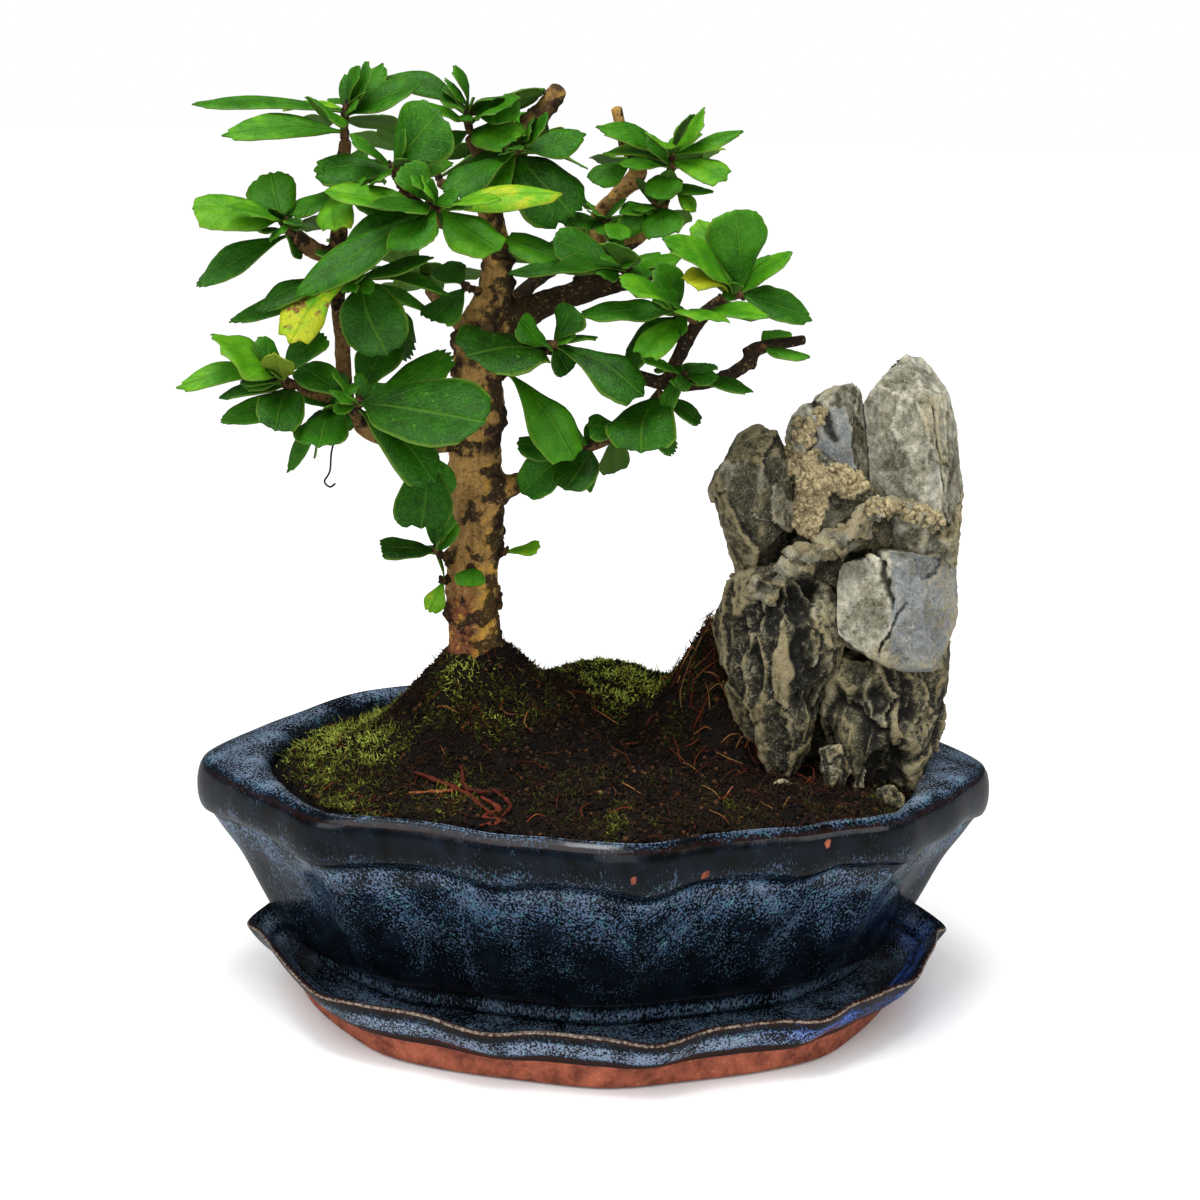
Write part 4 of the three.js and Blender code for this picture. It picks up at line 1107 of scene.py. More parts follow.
@dataclass
class Ceramic:
    """A glazed piece of lozenge plan whose walls are drawn into soft lobes.

    Attributes:
        name: the piece's name.
        node: the CAD node that it stands for.
        rings: its section, from the middle of the underside round the rim to the floor.
        shift: where its middle lies along x.
        tip_change: how much higher its side tips stand than its front.
        floor: height of the floor inside.
        pinholes: x and z of the small holes in the front's glaze.
        cobalt: how blue the glaze is that pooled inside the right half of the rim.
        ledge_height: how far the ledge hangs lower at the lobes.
        corners: corners in a ring.
        half_width: where the side tips are.
        front_lobes: where along x the lobes of the front stand out most.
    """

    name: str
    node: str
    rings: tuple[Ring, ...]
    shift: float
    tip_change: float
    floor: float
    pinholes: tuple[tuple[float, float], ...] = ()
    cobalt: float = 0.0
    ledge_height: float = 1.35
    corners: int = 308
    half_width: float = 120.0
    front_lobes: tuple[float, ...] = (-80, -30, 12, 55, 88)

    def lobes(self, shares: Array) -> Array:
        """How far each place stands in a lobe: a cosine from lobe to lobe, and one of half its length.

        Args:
            shares: places round the outline.

        Returns:
            One on a lobe's crest, about minus a half in the broad hollow between two.
        """
        dense = np.linspace(0.75, 1.25, 600)
        front = np.interp(self.front_lobes, Outline.LIP.around(dense)[:, 0], dense) % 1
        crests = np.sort(np.concatenate([front, (front + 0.5) % 1, [0.25, 0.75]]))
        crests = np.concatenate([crests[-1:] - 1, crests, crests[:1] + 1])
        phase = np.interp(shares, crests, np.arange(len(crests)))
        return np.cos(2 * np.pi * phase) * 0.75 + 0.25 * np.cos(4 * np.pi * phase)

    def skin(self) -> Skin:
        """The whole surface, from the middle of the underside round the rim to the middle of the floor.

        A ring's corner is the outline's place times the ring's scales, moved out by its lobe's height, at
        the ring's height plus its shares of the tips' change, which grows with the square of the distance
        from the middle, and of the ledge's waves. A slow unevenness of the hand lies on all of it.

        Returns:
            The surface, marked for the glaze.
        """
        shares = np.arange(self.corners) / self.corners
        wave = self.lobes(shares)
        hand = 0.35 * np.sin(2 * np.pi * 7 * shares + 1) + 0.25 * np.sin(2 * np.pi * 17 * shares)
        rows = []
        for ring in self.rings:
            plan = ring.outline.around(shares)
            away = unit(plan * (ring.width, ring.depth))
            swell = ring.lobe * wave + hand * min(1, ring.lobe)
            spread = plan * (ring.width, ring.depth) + away * swell[:, None]
            reach = (plan[:, 0] / self.half_width) ** 2
            height = ring.height + ring.tip * self.tip_change * reach
            height = height - ring.ledge * (self.ledge_height * wave + hand)
            marks = np.tile([ring.thin, ring.clay, ring.bloom, ring.worn], (self.corners, 1))
            rows.append(np.column_stack([spread[:, 0] + self.shift, spread[:, 1], height, marks]))
        rows = np.array(rows)
        reach = np.linalg.norm(np.diff(rows[..., :3], axis=0), axis=-1).mean(axis=1)
        rows = smooth_rows(rows, [int(np.clip(round(r / 1.2), 2, 14)) for r in reach])
        rows[..., 2] = np.maximum(rows[..., 2], self.rings[0].height)
        middle = np.array([self.shift, 0.0, 0.0])
        skin = shell(rows[..., :3], middle + (0, 0, rows[0, 0, 2]), middle + (0, 0, self.floor))
        for k, name in enumerate(("thin", "clay", "bloom", "worn")):
            values = rows[..., 3 + k]
            skin.marks[name] = np.concatenate([values[0, :1], values.ravel(), values[-1, :1]])
        for x, z in self.pinholes:
            away = np.hypot(skin.points[:, 0] - x, skin.points[:, 2] - z) + 9 * (skin.points[:, 1] > 0)
            skin.marks["clay"] = np.maximum(skin.marks["clay"], np.clip(1.7 - away, 0, 1))
        x, y, z = skin.points.T
        inside = (z > 11) & (z < 18.5) & (skin.marks["clay"] < 0.1)
        return skin.marked(cobalt=self.cobalt * inside * ramp(x, 40, 70) * ramp(y, 20, -10))

    def dress(self, glaze: Material) -> None:
        """Makes the piece in the glaze material."""
        make_piece(self.name, self.skin(), [glaze], "glaze", self.node)


LIP, MOUTH, DISH = Outline

POT = Ceramic("pot_glazed", "pot", (
    Ring(LIP, 0.5, 0.32, 6.4, clay=1),
    Ring(LIP, 0.640, 0.440, 6.4, clay=1),
    Ring(LIP, 0.672, 0.474, 6.4, clay=1),
    Ring(LIP, 0.690, 0.492, 7.0, clay=0.4, thin=0.9),
    Ring(LIP, 0.704, 0.508, 8.2, bloom=0.9),
    Ring(LIP, 0.710, 0.514, 11.4, bloom=1),
    Ring(LIP, 0.716, 0.520, 13.2, thin=0.6, bloom=0.5),
    Ring(LIP, 0.752, 0.550, 14.8, thin=0.9, bloom=0.1),
    Ring(LIP, 0.778, 0.573, 16.6, thin=0.6, bloom=0.15),
    Ring(LIP, 0.792, 0.588, 20.0, thin=0.3, lobe=0.4, bloom=0.35),
    Ring(LIP, 0.838, 0.668, 32.0, lobe=1.2, bloom=0.5),
    Ring(LIP, 0.885, 0.752, 44.0, lobe=1.6, bloom=0.75),
    Ring(LIP, 0.930, 0.832, 54.5, lobe=1.6, bloom=0.95, tip=0.5, ledge=0.4),
    Ring(LIP, 0.954, 0.874, 60.3, tip=0.7, ledge=1, lobe=1.5, bloom=0.7),
    Ring(LIP, 0.962, 0.890, 61.8, tip=0.8, ledge=1, lobe=1.3, thin=0.3, bloom=0.0),
    Ring(LIP, 0.984, 0.940, 63.0, tip=0.85, ledge=0.9, lobe=0.7, thin=0.35, bloom=0.35),
    Ring(LIP, 0.994, 0.972, 65.4, tip=0.9, ledge=0.6, lobe=0.5, bloom=0.65),
    Ring(LIP, 0.998, 0.992, 69.5, tip=1, ledge=0.2, lobe=0.4, bloom=0.3),
    Ring(LIP, 0.995, 0.992, 73.5, tip=1, ledge=0.15, lobe=0.35, thin=0.15, bloom=0.12),
    Ring(LIP, 0.986, 0.981, 76.4, tip=1, ledge=0.2, lobe=0.35, thin=0.72, bloom=0.4),
    Ring(LIP, 0.966, 0.957, 77.9, tip=1, ledge=0.22, lobe=0.35, thin=0.1, bloom=1.05),
    Ring(MOUTH, 1.045, 1.040, 78.0, tip=1, ledge=0.22, lobe=0.5, bloom=1.2),
    Ring(MOUTH, 1.005, 1.005, 76.8, tip=1, ledge=0.2, lobe=0.7, bloom=1.15),
    Ring(MOUTH, 0.985, 0.980, 74.0, tip=1, lobe=0.6, bloom=0.6),
    Ring(LIP, 0.870, 0.820, 64.0, tip=0.8),
    Ring(LIP, 0.700, 0.490, 20.0, clay=1),
    Ring(LIP, 0.660, 0.450, 13.5, clay=1),
), shift=-2.0, tip_change=-4.3, floor=13.5, pinholes=((4, 68.5), (24, 67.5), (58.5, 72.0)))

SAUCER = Ceramic("saucer_glazed", "saucer", (
    Ring(DISH, 0.60, 0.60, 0.0, clay=1),
    Ring(DISH, 0.755, 0.785, 0.0, clay=1),
    Ring(DISH, 0.768, 0.797, 0.6, clay=1),
    Ring(DISH, 0.778, 0.806, 4.0, clay=1, lobe=0.5),
    Ring(DISH, 0.786, 0.814, 6.8, clay=1, lobe=0.8),
    Ring(DISH, 0.800, 0.824, 8.3, thin=1, lobe=1.0, ledge=0.3, bloom=0.1),
    Ring(DISH, 0.835, 0.843, 10.8, tip=0.3, lobe=1.2, thin=0.1, ledge=0.4, bloom=1.35),
    Ring(DISH, 0.872, 0.870, 14.2, tip=0.7, lobe=1.3, ledge=0.5, bloom=1.4),
    Ring(DISH, 0.891, 0.885, 16.8, tip=1, lobe=1.4, thin=0.5, ledge=0.6, bloom=0.4),
    Ring(DISH, 0.897, 0.890, 18.3, tip=1, lobe=1.4, thin=1, worn=0.95, ledge=0.7),
    Ring(DISH, 0.891, 0.883, 19.1, tip=1, lobe=1.4, thin=0.8, worn=0.6, ledge=0.7),
    Ring(DISH, 0.879, 0.868, 18.2, tip=1, lobe=1.3, thin=0.4, bloom=0.8, ledge=0.6),
    Ring(DISH, 0.862, 0.848, 15.8, tip=0.9, lobe=1.2, bloom=1.25, ledge=0.4),
    Ring(DISH, 0.850, 0.834, 15.0, tip=0.8, lobe=1.0, bloom=1.2, ledge=0.3),
    Ring(DISH, 0.836, 0.812, 13.3, tip=0.6, lobe=0.8, bloom=0.6, ledge=0.1),
    Ring(DISH, 0.822, 0.792, 12.8, tip=0.5, lobe=0.8, bloom=1.25, ledge=0.1),
    Ring(DISH, 0.800, 0.752, 9.2, bloom=1.1),
    Ring(DISH, 0.780, 0.725, 7.4, thin=0.7, bloom=0.8),
    Ring(DISH, 0.740, 0.670, 6.2, bloom=1),
    Ring(DISH, 0.640, 0.520, 6.0, bloom=1),
), shift=0.0, tip_change=2.0, floor=6.0, cobalt=0.7)


# Soil and what lies on it


@dataclass
class Ground:
    """The soil with its mounds, and the crumb, moss and fibre on it."""

    edge: float = 70.0
    dome: float = 6.0
    back_fall: float = 0.03
    end_fall: float = 0.1
    end_from: float = 50.0
    half_width: float = 120.0
    half_depth: float = 90.0
    depth_share: float = 0.965
    mounds: tuple[tuple[float, tuple[float, ...]], ...] = (
        (28, (-38, 5, 30, 30)), (18, (0, 46, 30, 26)), (37, (36, 22, 13, 21)), (7, (-38, 5, 13, 13)))
    hump: tuple[float, ...] = (6, 34, 17, 22)
    bank: tuple[float, ...] = (36, 14, 15, 28)
    fringe: tuple[float, ...] = (24, -46, 30, 12)
    trunk: tuple[float, float, float] = (-38.0, 5.0, 9.5)
    crumbs: int = 7400
    sprigs: tuple[int, int] = (1500, 6)
    needles: tuple[int, int] = (6000, 8)
    threads: tuple[int, int, int] = (230, 130, 26)
    corners: int = 288
    seed: int = 11

    def height(self, x: Array, y: Array) -> Array:
        """Height of the open soil.

        A low dome over an even slope, plus for each mound its height times e to minus the square of the
        distance from its middle in its own spreads, plus small waves.

        Args:
            x: places along x.
            y: places along y.

        Returns:
            Heights.
        """
        reach = (x / self.half_width) ** 2 + (y / self.half_depth) ** 2
        z = self.edge + self.dome * np.maximum(0, 1 - reach) - self.back_fall * y
        z -= self.end_fall * np.maximum(0, x - self.end_from)
        for height, hill in self.mounds:
            z += height * bell(x, y, hill)
        flat = np.stack([x, y, np.zeros_like(x)], -1)
        return z + 1.9 * layered(flat, 13, self.seed, 5, 0.58)

    def slopes(self, x: Array, y: Array) -> Array:
        """Upward directions of the soil, from its rise over a short step each way.

        Args:
            x: places along x.
            y: places along y.

        Returns:
            One direction a place.
        """
        step = 1.5
        across = (self.height(x + step, y) - self.height(x - step, y)) / (2 * step)
        back = (self.height(x, y + step) - self.height(x, y - step)) / (2 * step)
        return unit(np.stack([-across, -back, np.ones_like(x)], -1))

    def places(self, count: int, random: Random) -> Array:
        """Random places on the open soil, even over it, without the trunk's foot.

        Args:
            count: how many to try.
            random: the seeded source.

        Returns:
            x and y of each.
        """
        rim = Outline.MOUTH.around(random.random(count))
        rim = rim * 0.97 * np.sqrt(random.random(count))[:, None] * (1, self.depth_share)
        away = np.hypot(rim[:, 0] - self.trunk[0], rim[:, 1] - self.trunk[1])
        return rim[away > self.trunk[2]]

    def body(self) -> Skin:
        """The soil itself: its hidden side inside the pot, then rings of its top drawn in to the middle.

        Returns:
            The surface, marked with its hue.
        """
        shares = np.arange(self.corners) / self.corners
        lip, mouth = Outline.LIP.around(shares), Outline.MOUTH.around(shares)
        rings = [np.column_stack([lip * scale, np.full(self.corners, z)])
                 for scale, z in (((0.652, 0.442), 14.0), ((0.69, 0.48), 20.0), ((0.862, 0.81), 64.0))]
        for share in np.linspace(0.95, 0.015, 76):
            plan = mouth * share * (1, self.depth_share)
            rings.append(np.column_stack([plan, self.height(*plan.T)]))
        rings = np.array(rings) + (POT.shift, 0, 0)
        top = rings[3:]
        top[..., 2] = self.height(top[..., 0].ravel(), top[..., 1].ravel()).reshape(-1, self.corners)
        middle = np.array([POT.shift, 0, float(rings[-1, :, 2].mean())])
        skin = shell(rings, np.array([POT.shift, 0, 14.0]), middle)
        return skin.marked(hue=0.3 + 0.3 * layered(skin.points, 7, 5, 3))

    def crumb(self, random: Random) -> Skin:
        """Grains and lumps of soil.

        Args:
            random: the seeded source.

        Returns:
            The grains, marked with their hue.
        """
        spots = self.places(self.crumbs, random)
        count = len(spots)
        size = random.uniform(0.35, 1.1, (count, 1)) * random.uniform(0.6, 1.3, (count, 3))
        place = np.column_stack([spots, self.height(*spots.T) + 0.2 * size[:, 2]])
        spin, lean = random.uniform(0, TURN, count), random.uniform(0, 0.8, count)
        frames = upright(self.slopes(*spots.T), spin, lean, size)
        hue = random.uniform(0.1, 0.95, count) ** 1.4
        return scattered(pebble(), place, frames, {"hue": hue})

    def moss_at(self, spots: Array) -> tuple[Array, Array]:
        """How much moss grows at each place, and how green it is.

        Args:
            spots: x and y of each place.

        Returns:
            The cover and the hue, both from 0 to 1: bright on the left and on the hump behind, brown on the
            bank at the rock.
        """
        x, y = spots.T
        left = ramp(x, -40, -64) * np.clip(1.25 - np.abs(y + 8) / 60, 0.3, 1)
        hump, bank, fringe = (bell(x, y, hill) for hill in (self.hump, self.bank, self.fringe))
        ring = np.exp(-(((np.hypot(x + 38, y - 5) - 19) / 14) ** 2))
        patch = layered(np.column_stack([spots, 0 * x]), 14, 71, 3, 0.6)
        most = np.maximum.reduce([left, hump, 0.8 * bank, 1.05 * ring, 0.2 * fringe, 0 * x + 0.33])
        cover = np.clip(most + 0.42 * patch, 0, 1)
        bare = ramp(x, 2, 24) * ramp(y, 4, -12)
        cover = cover * (1 - 0.45 * bare)
        hue = 0.3 + 0.4 * left + 0.8 * hump - 0.34 * bank - 0.02 * ring - 0.22 * bare + 0.34 * patch
        return cover, np.clip(hue, 0.05, 0.96)

    def tufts(self, template: Skin, clumps: tuple[int, int], spread: float, width: float,
              tall: tuple[float, float], random: Random) -> Skin:
        """Moss: clumps of short shoots that lean apart.

        Args:
            template: one shoot.
            clumps: how many clumps, and shoots in each.
            spread: how far a clump reaches.
            width: half a shoot's width.
            tall: the least and greatest height.
            random: the seeded source.

        Returns:
            The moss, marked with its hue.
        """
        spots = self.places(clumps[0], random)
        cover, hue = self.moss_at(spots)
        keep = random.random(len(spots)) < 0.2 + 0.8 * cover
        spots, hue = np.repeat(spots[keep], clumps[1], axis=0), hue[keep]
        spots = spots + random.normal(0, spread, spots.shape)
        count = len(spots)
        high = random.uniform(*tall, count) * np.where(random.random(count) < 0.05, 1.8, 1.0)
        size = np.column_stack([np.full((count, 2), width) * random.uniform(0.7, 1.4, (count, 1)), high])
        place = np.column_stack([spots, self.height(*spots.T) - 0.15])
        spin, lean = random.uniform(0, TURN, count), random.uniform(0.2, 2.0, count)
        frames = upright(self.slopes(*spots.T), spin, lean, size)
        hue = np.repeat(hue + random.uniform(-0.36, 0.22, len(hue)), clumps[1])
        hue = hue + random.uniform(-0.12, 0.12, count)
        return scattered(template, place, frames, {"hue": np.clip(hue, 0, 1)})

    def fibres(self, random: Random) -> Skin:
        """Dry roots and stalks strewn over the soil, each a thin bent thread; on the bank they stand up.

        Args:
            random: the seeded source.

        Returns:
            The threads, marked with their hue.
        """
        strewn, on_bank, at_foot = self.threads
        spots = self.places(strewn, random)
        bank = np.column_stack([random.normal(35, 7, on_bank), random.normal(13, 13, on_bank)])
        foot = np.column_stack([random.normal(-32, 9, at_foot), random.normal(-14, 9, at_foot)])
        threads = []
        for x, y in np.vstack([spots, bank, foot]):
            turn, reach = random.uniform(0, TURN), random.uniform(1.2, 4.5)
            bend = turn + random.uniform(-0.9, 0.9)
            steps = np.array([[0, 0], [math.cos(turn), math.sin(turn)],
                              [math.cos(turn) + math.cos(bend), math.sin(turn) + math.sin(bend)]])
            path = steps * reach + (x, y)
            steep = x > 20
            lift = np.array([-0.3, 0.6, 0.2]) + random.uniform(0, 1.2, 3)
            lift = lift + random.uniform(0, 4.5) * np.array([0, 0.5, 1]) * steep
            line = np.column_stack([path, self.height(*path.T) + lift])
            radius = random.uniform(0.09, 0.22)
            pale = random.uniform(0, 0.9) ** 1.3 + 0.12 * steep
            threads.append(tube(line, [radius, radius, radius * 0.5], 4, 7).marked(hue=pale))
        return join(threads)

    def root_pieces(self) -> Skin:
        """The forked red-brown root and the curled shreds at the front.

        Returns:
            The roots, marked with their hue.
        """
        roots = (([(-55, -34), (-47, -40), (-40, -48), (-33, -60)], (0.5, 0.7, 0.75, 0.4), 0.45),
                 ([(-42, -36), (-40, -45), (-30, -46)], (0.5, 0.7, 0.4), 0.35),
                 ([(-62, -42), (-54, -44), (-44, -44)], (0.25, 0.45, 0.6), 0.75),
                 ([(-36, -50), (-31, -55), (-35, -60), (-31, -64), (-36, -67)], (0.4, 0.8, 0.6, 0.75, 0.3),
                  0.55),
                 ([(-33, -46), (-28, -53), (-30, -61)], (0.3, 0.6, 0.3), 0.4))
        skins = []
        for path, radii, hue in roots:
            x, y = np.array(path, float).T
            line = np.column_stack([x, y, self.height(x, y) + 0.7])
            skins.append(tube(line, radii, 9, 60, lumps=0.3, seed=x[0]).marked(hue=hue))
        return join(skins)

    def dress(self, soil: Material, moss: Material, fibre: Material) -> None:
        """Makes the soil and all that lies on it.

        Args:
            soil: the soil's material.
            moss: the moss's material.
            fibre: the fibres' material.
        """
        random = np.random.default_rng(self.seed)
        make_piece("soil_mound", self.body(), [soil], "soil", "soil")
        make_piece("soil_crumb", self.crumb(random), [soil], "soil")
        cushions = self.tufts(sprig(), self.sprigs, 0.9, 0.34, (0.8, 1.8), random)
        make_piece("moss_cushions", cushions, [moss], "soil")
        needles = self.tufts(needle(), self.needles, 1.2, 0.21, (0.9, 2.9), random)
        make_piece("moss_needles", needles, [moss], "soil")
        make_piece("root_fibres", self.fibres(random), [fibre], "root")
        make_piece("forked_roots", self.root_pieces(), [fibre], "root", "surface_roots")


def pebble() -> Skin:
    """A small uneven stone about the origin.

    Returns:
        Its eight faces.
    """
    points = np.array([[1, 0.1, 0], [0.1, 0.9, 0.2], [-0.8, 0.2, -0.1], [0, -1, 0.1], [0.1, 0.1, 0.9],
                       [-0.1, 0, -0.8]])
    faces = np.array([[0, 1, 4], [1, 2, 4], [2, 3, 4], [3, 0, 4], [1, 0, 5], [2, 1, 5], [3, 2, 5], [0, 3, 5]])
    return Skin(points, [(faces, 0)])


def flat_ring(corners: int) -> Array:
    """Corners on a level circle of radius one."""
    angle = np.arange(corners) * 2 * np.pi / corners
    return np.column_stack([np.cos(angle), np.sin(angle), np.zeros(corners)])


def sprig() -> Skin:
    """A moss sprig: a three-sided shoot, widest near its middle and bent over at its pointed top.

    Returns:
        Its twelve faces, darker at the foot.
    """
    ring = flat_ring(3)
    rings = np.array([ring * 0.5, ring + (0.1, 0, 0.45)])
    skin = shell(rings, np.array([0, 0, -0.1]), np.array([0.9, 0, 1.0]))
    return skin.marked(hue=0.3 * skin.points[:, 2] - 0.18)


def needle() -> Skin:
    """A moss leaf: a three-sided spike whose tip leans over."""
    points = np.array([[1, 0, 0], [-0.5, 0.87, 0], [-0.5, -0.87, 0], [1.4, 0, 1.0]])
    faces = np.array([[0, 1, 3], [1, 2, 3], [2, 0, 3], [0, 2, 1]])
    return Skin(points, [(faces, 0)]).marked(hue=(-0.2, -0.2, -0.2, 0.2))


def knob() -> Skin:
    """A round bud of eighteen faces about the origin."""
    ring = flat_ring(6)
    rings = np.array([ring * 0.8 - (0, 0, 0.5), ring * 0.85 + (0, 0, 0.45)])
    return shell(rings, np.array([0, 0, -0.9]), np.array([0, 0, 1.0]))


def lump() -> Skin:
    """An uneven grain about the origin.

    Returns:
        Its twenty-four faces.
    """
    swell = 1 + 0.2 * np.cos(np.pi * np.arange(6) + 1)
    ring = flat_ring(6) * swell[:, None]
    rings = np.array([ring * 0.75 - (0, 0, 0.5), ring * (1.05, 0.9, 1), ring * 0.6 + (0.1, 0.1, 0.6)])
    return shell(rings, np.array([0, 0, -0.8]), np.array([0.1, 0, 0.85]))


# Wood


@dataclass
class Wood:
    """The trunk with its leader and branches, which grew as one."""

    trunk: Limb = (
        ((-38, 5, 80), (-38, 5, 93), (-39, 5, 104), (-40, 5, 118), (-40, 5, 133), (-39, 5, 145),
         (-40, 4, 157), (-39, 2, 170), (-38, 0, 182), (-39, 0, 193), (-38, 2, 203), (-35, 4, 211),
         (-34, 6, 219), (-35, 8, 228), (-36, 8, 237), (-32, 10, 247), (-27, 12, 256), (-21, 12, 264),
         (-17, 12, 270)),
        (11, 10, 8.4, 7.9, 7.6, 7.5, 7.6, 6.8, 6.6, 7, 6.6, 4.9, 4.3, 4.1, 3.7, 3.6, 2.9, 2.7, 2.8))
    limbs: tuple[Limb, ...] = (
        (((-36, 3, 198), (-29, 6, 204), (-20, 10, 209), (-7, 12, 213), (8, 12, 217), (15, 12, 222)),
         (5.6, 4.8, 3.9, 3.1, 2.4, 1.9)),
        (((-11, 12, 212), (-4, 14, 221), (5, 16, 227), (11, 18, 232), (14, 18, 238), (15, 18, 243)),
         (2.6, 2.5, 2.3, 2.3, 1.9, 1.6)),
        (((-3, 14, 221), (-5, 20, 233), (1, 22, 240), (7, 24, 247), (3, 24, 255), (0, 24, 265)),
         (2.1, 2.1, 2.4, 2.9, 1.9, 1.7)),
        (((-37, 2, 193), (-27, -4, 196), (-18, -8, 198), (-1, -10, 193), (15, -12, 189), (29, -10, 190),
          (38, -9, 195), (40, -9, 199), (54, -9, 202)), (3.6, 2.8, 2.2, 1.9, 2.1, 1.8, 2.1, 2, 1.5)),
        (((14, -12, 188), (18, -12, 197), (21, -11, 203), (25, -10, 209), (30, -10, 213)),
         (1.9, 2, 2.1, 2, 1.7)),
        (((-38, 4, 151), (-31, 4, 155), (-24, 2, 159)), (5, 3.6, 2.2)),
        (((-41, 2, 171), (-54, -8, 170), (-68, -16, 174), (-76, -18, 182), (-83, -20, 185), (-88, -22, 188)),
         (4, 2.8, 2.6, 2.6, 2.5, 2)),
        (((-76, -18, 181), (-77, -12, 197), (-79, -6, 214), (-79, -4, 224), (-78, -2, 236), (-77, 0, 254)),
         (2.2, 2.2, 2.1, 2.5, 2.1, 1.8)),
        (((-79, -4, 222), (-85, -8, 224), (-90, -12, 228)), (2.2, 2.6, 2.3)),
        (((-36, 8, 226), (-46, -2, 231), (-54, -12, 234)), (2.6, 2, 1.8)),
        (((-51, -8, 233), (-57, -8, 238), (-61, -8, 241)), (1.7, 1.6, 1.5)),
        (((-35, 9, 242), (-39, 6, 250), (-42, 4, 256)), (2.4, 2.1, 1.8)),
        (((-31, 11, 247), (-29, 11, 250), (-29, 8, 252)), (3, 3.2, 2.2)),
        (((-39, 4, 196), (-46, 24, 202), (-55, 36, 210)), (3.4, 2.2, 1.7)),
        (((-35, 6, 200), (-26, 30, 211), (-15, 42, 218)), (3.2, 2.2, 1.7)),
        (((-35, 9, 233), (-43, 28, 239), (-52, 36, 242)), (2.6, 2, 1.6)))
    voxel: float = 0.7
    knobs_per_mm: float = 0.4
    buds: tuple[tuple[int, float], ...] = (
        (1, 176), (1, 158), (1, 139), (1, 121), (1, 109), (-1, 200), (-1, 191), (-1, 133), (-1, 118),
        (-1, 103))
    seed: int = 4

    def dress(self, bark: Material) -> None:
        """Makes the wood: limbs and their knobs fused into one skin, then wrinkled bark.

        Args:
            bark: the bark material.
        """
        random = np.random.default_rng(self.seed)
        bones = (self.trunk, *self.limbs)
        skins = [tube(points, radii, 20, 12 * len(points), lumps=0.04 if k else 0.05, seed=k)
                 for k, (points, radii) in enumerate(bones)]
        sticks, knots = self.rough_knobs(bones, random)
        skin = fused(join([*skins, sticks]), self.voxel)
        relaxed(skin, 1)
        self.wrinkle(skin, bones, knots)
        make_piece("bark_wood", skin, [bark], "bark", "trunk")

    def rough_knobs(self, bones: tuple[Limb, ...], random: Random) -> tuple[Skin, Array]:
        """Leaf scars and buds that stand on the limbs.

        Args:
            bones: the limbs' points and radii, the trunk first.
            random: the seeded source.

        Returns:
            The knobs, and each one's place and size.
        """
        places, sizes, ways = [], [], []
        for k, (points, radii) in enumerate(bones):
            reach = np.linalg.norm(np.diff(np.array(points, float), axis=0), axis=1).sum()
            count = int(reach * self.knobs_per_mm * (1 if k else 1.3))
            at = np.repeat(random.uniform(0.05, 0.98, count // 3 + 1), 3)[:count]
            at = np.clip(at + random.normal(0, 0.012, count), 0, 1)
            radius = np.interp(at, np.linspace(0, 1, len(radii)), radii)
            way = unit(random.normal(0, 1, (count, 3)) * (1, 1, 0.35))
            places.append(smooth_line(points, at) + way * (radius * 0.97)[:, None])
            stout = (0.8 + 0.1 * np.minimum(radius, 4)) * (1.1 if k else 1.8)
            sizes.append(random.uniform(0.4, 1.1, count) * stout)
            ways.append(way)
        line = self.sampled(self.trunk, 90)
        for side, z in self.buds:
            count = 6
            high = z + random.normal(0, 1.8, count)
            back, rise = random.normal(-0.1, 0.4, count), random.normal(0, 0.1, count)
            way = unit(np.column_stack([np.full(count, side), back, rise]))
            middle = np.column_stack([np.interp(high, line[:, 2], line[:, k]) for k in (0, 1)] + [high])
            places.append(middle + way * (np.interp(high, line[:, 2], line[:, 3]) + 0.2)[:, None])
            sizes.append(random.uniform(0.9, 1.9, count))
            ways.append(way)
        place, size, way = np.vstack(places), np.concatenate(sizes), np.vstack(ways)
        spin, lean = random.uniform(0, TURN, len(size)), random.uniform(0, 0.6, len(size))
        frames = upright(way, spin, lean, size[:, None] * random.uniform(0.8, 1.2, (len(size), 3)))
        return scattered(knob(), place, frames, {}), np.column_stack([place, size])

    @staticmethod
    def sampled(limb: Limb, count: int) -> Array:
        """Places along a limb's middle line, one row each, with the radius there as the fourth number."""
        shares = np.linspace(0, 1, count)
        radius = np.interp(shares, np.linspace(0, 1, len(limb[1])), limb[1])
        return np.column_stack([smooth_line(limb[0], shares), radius])

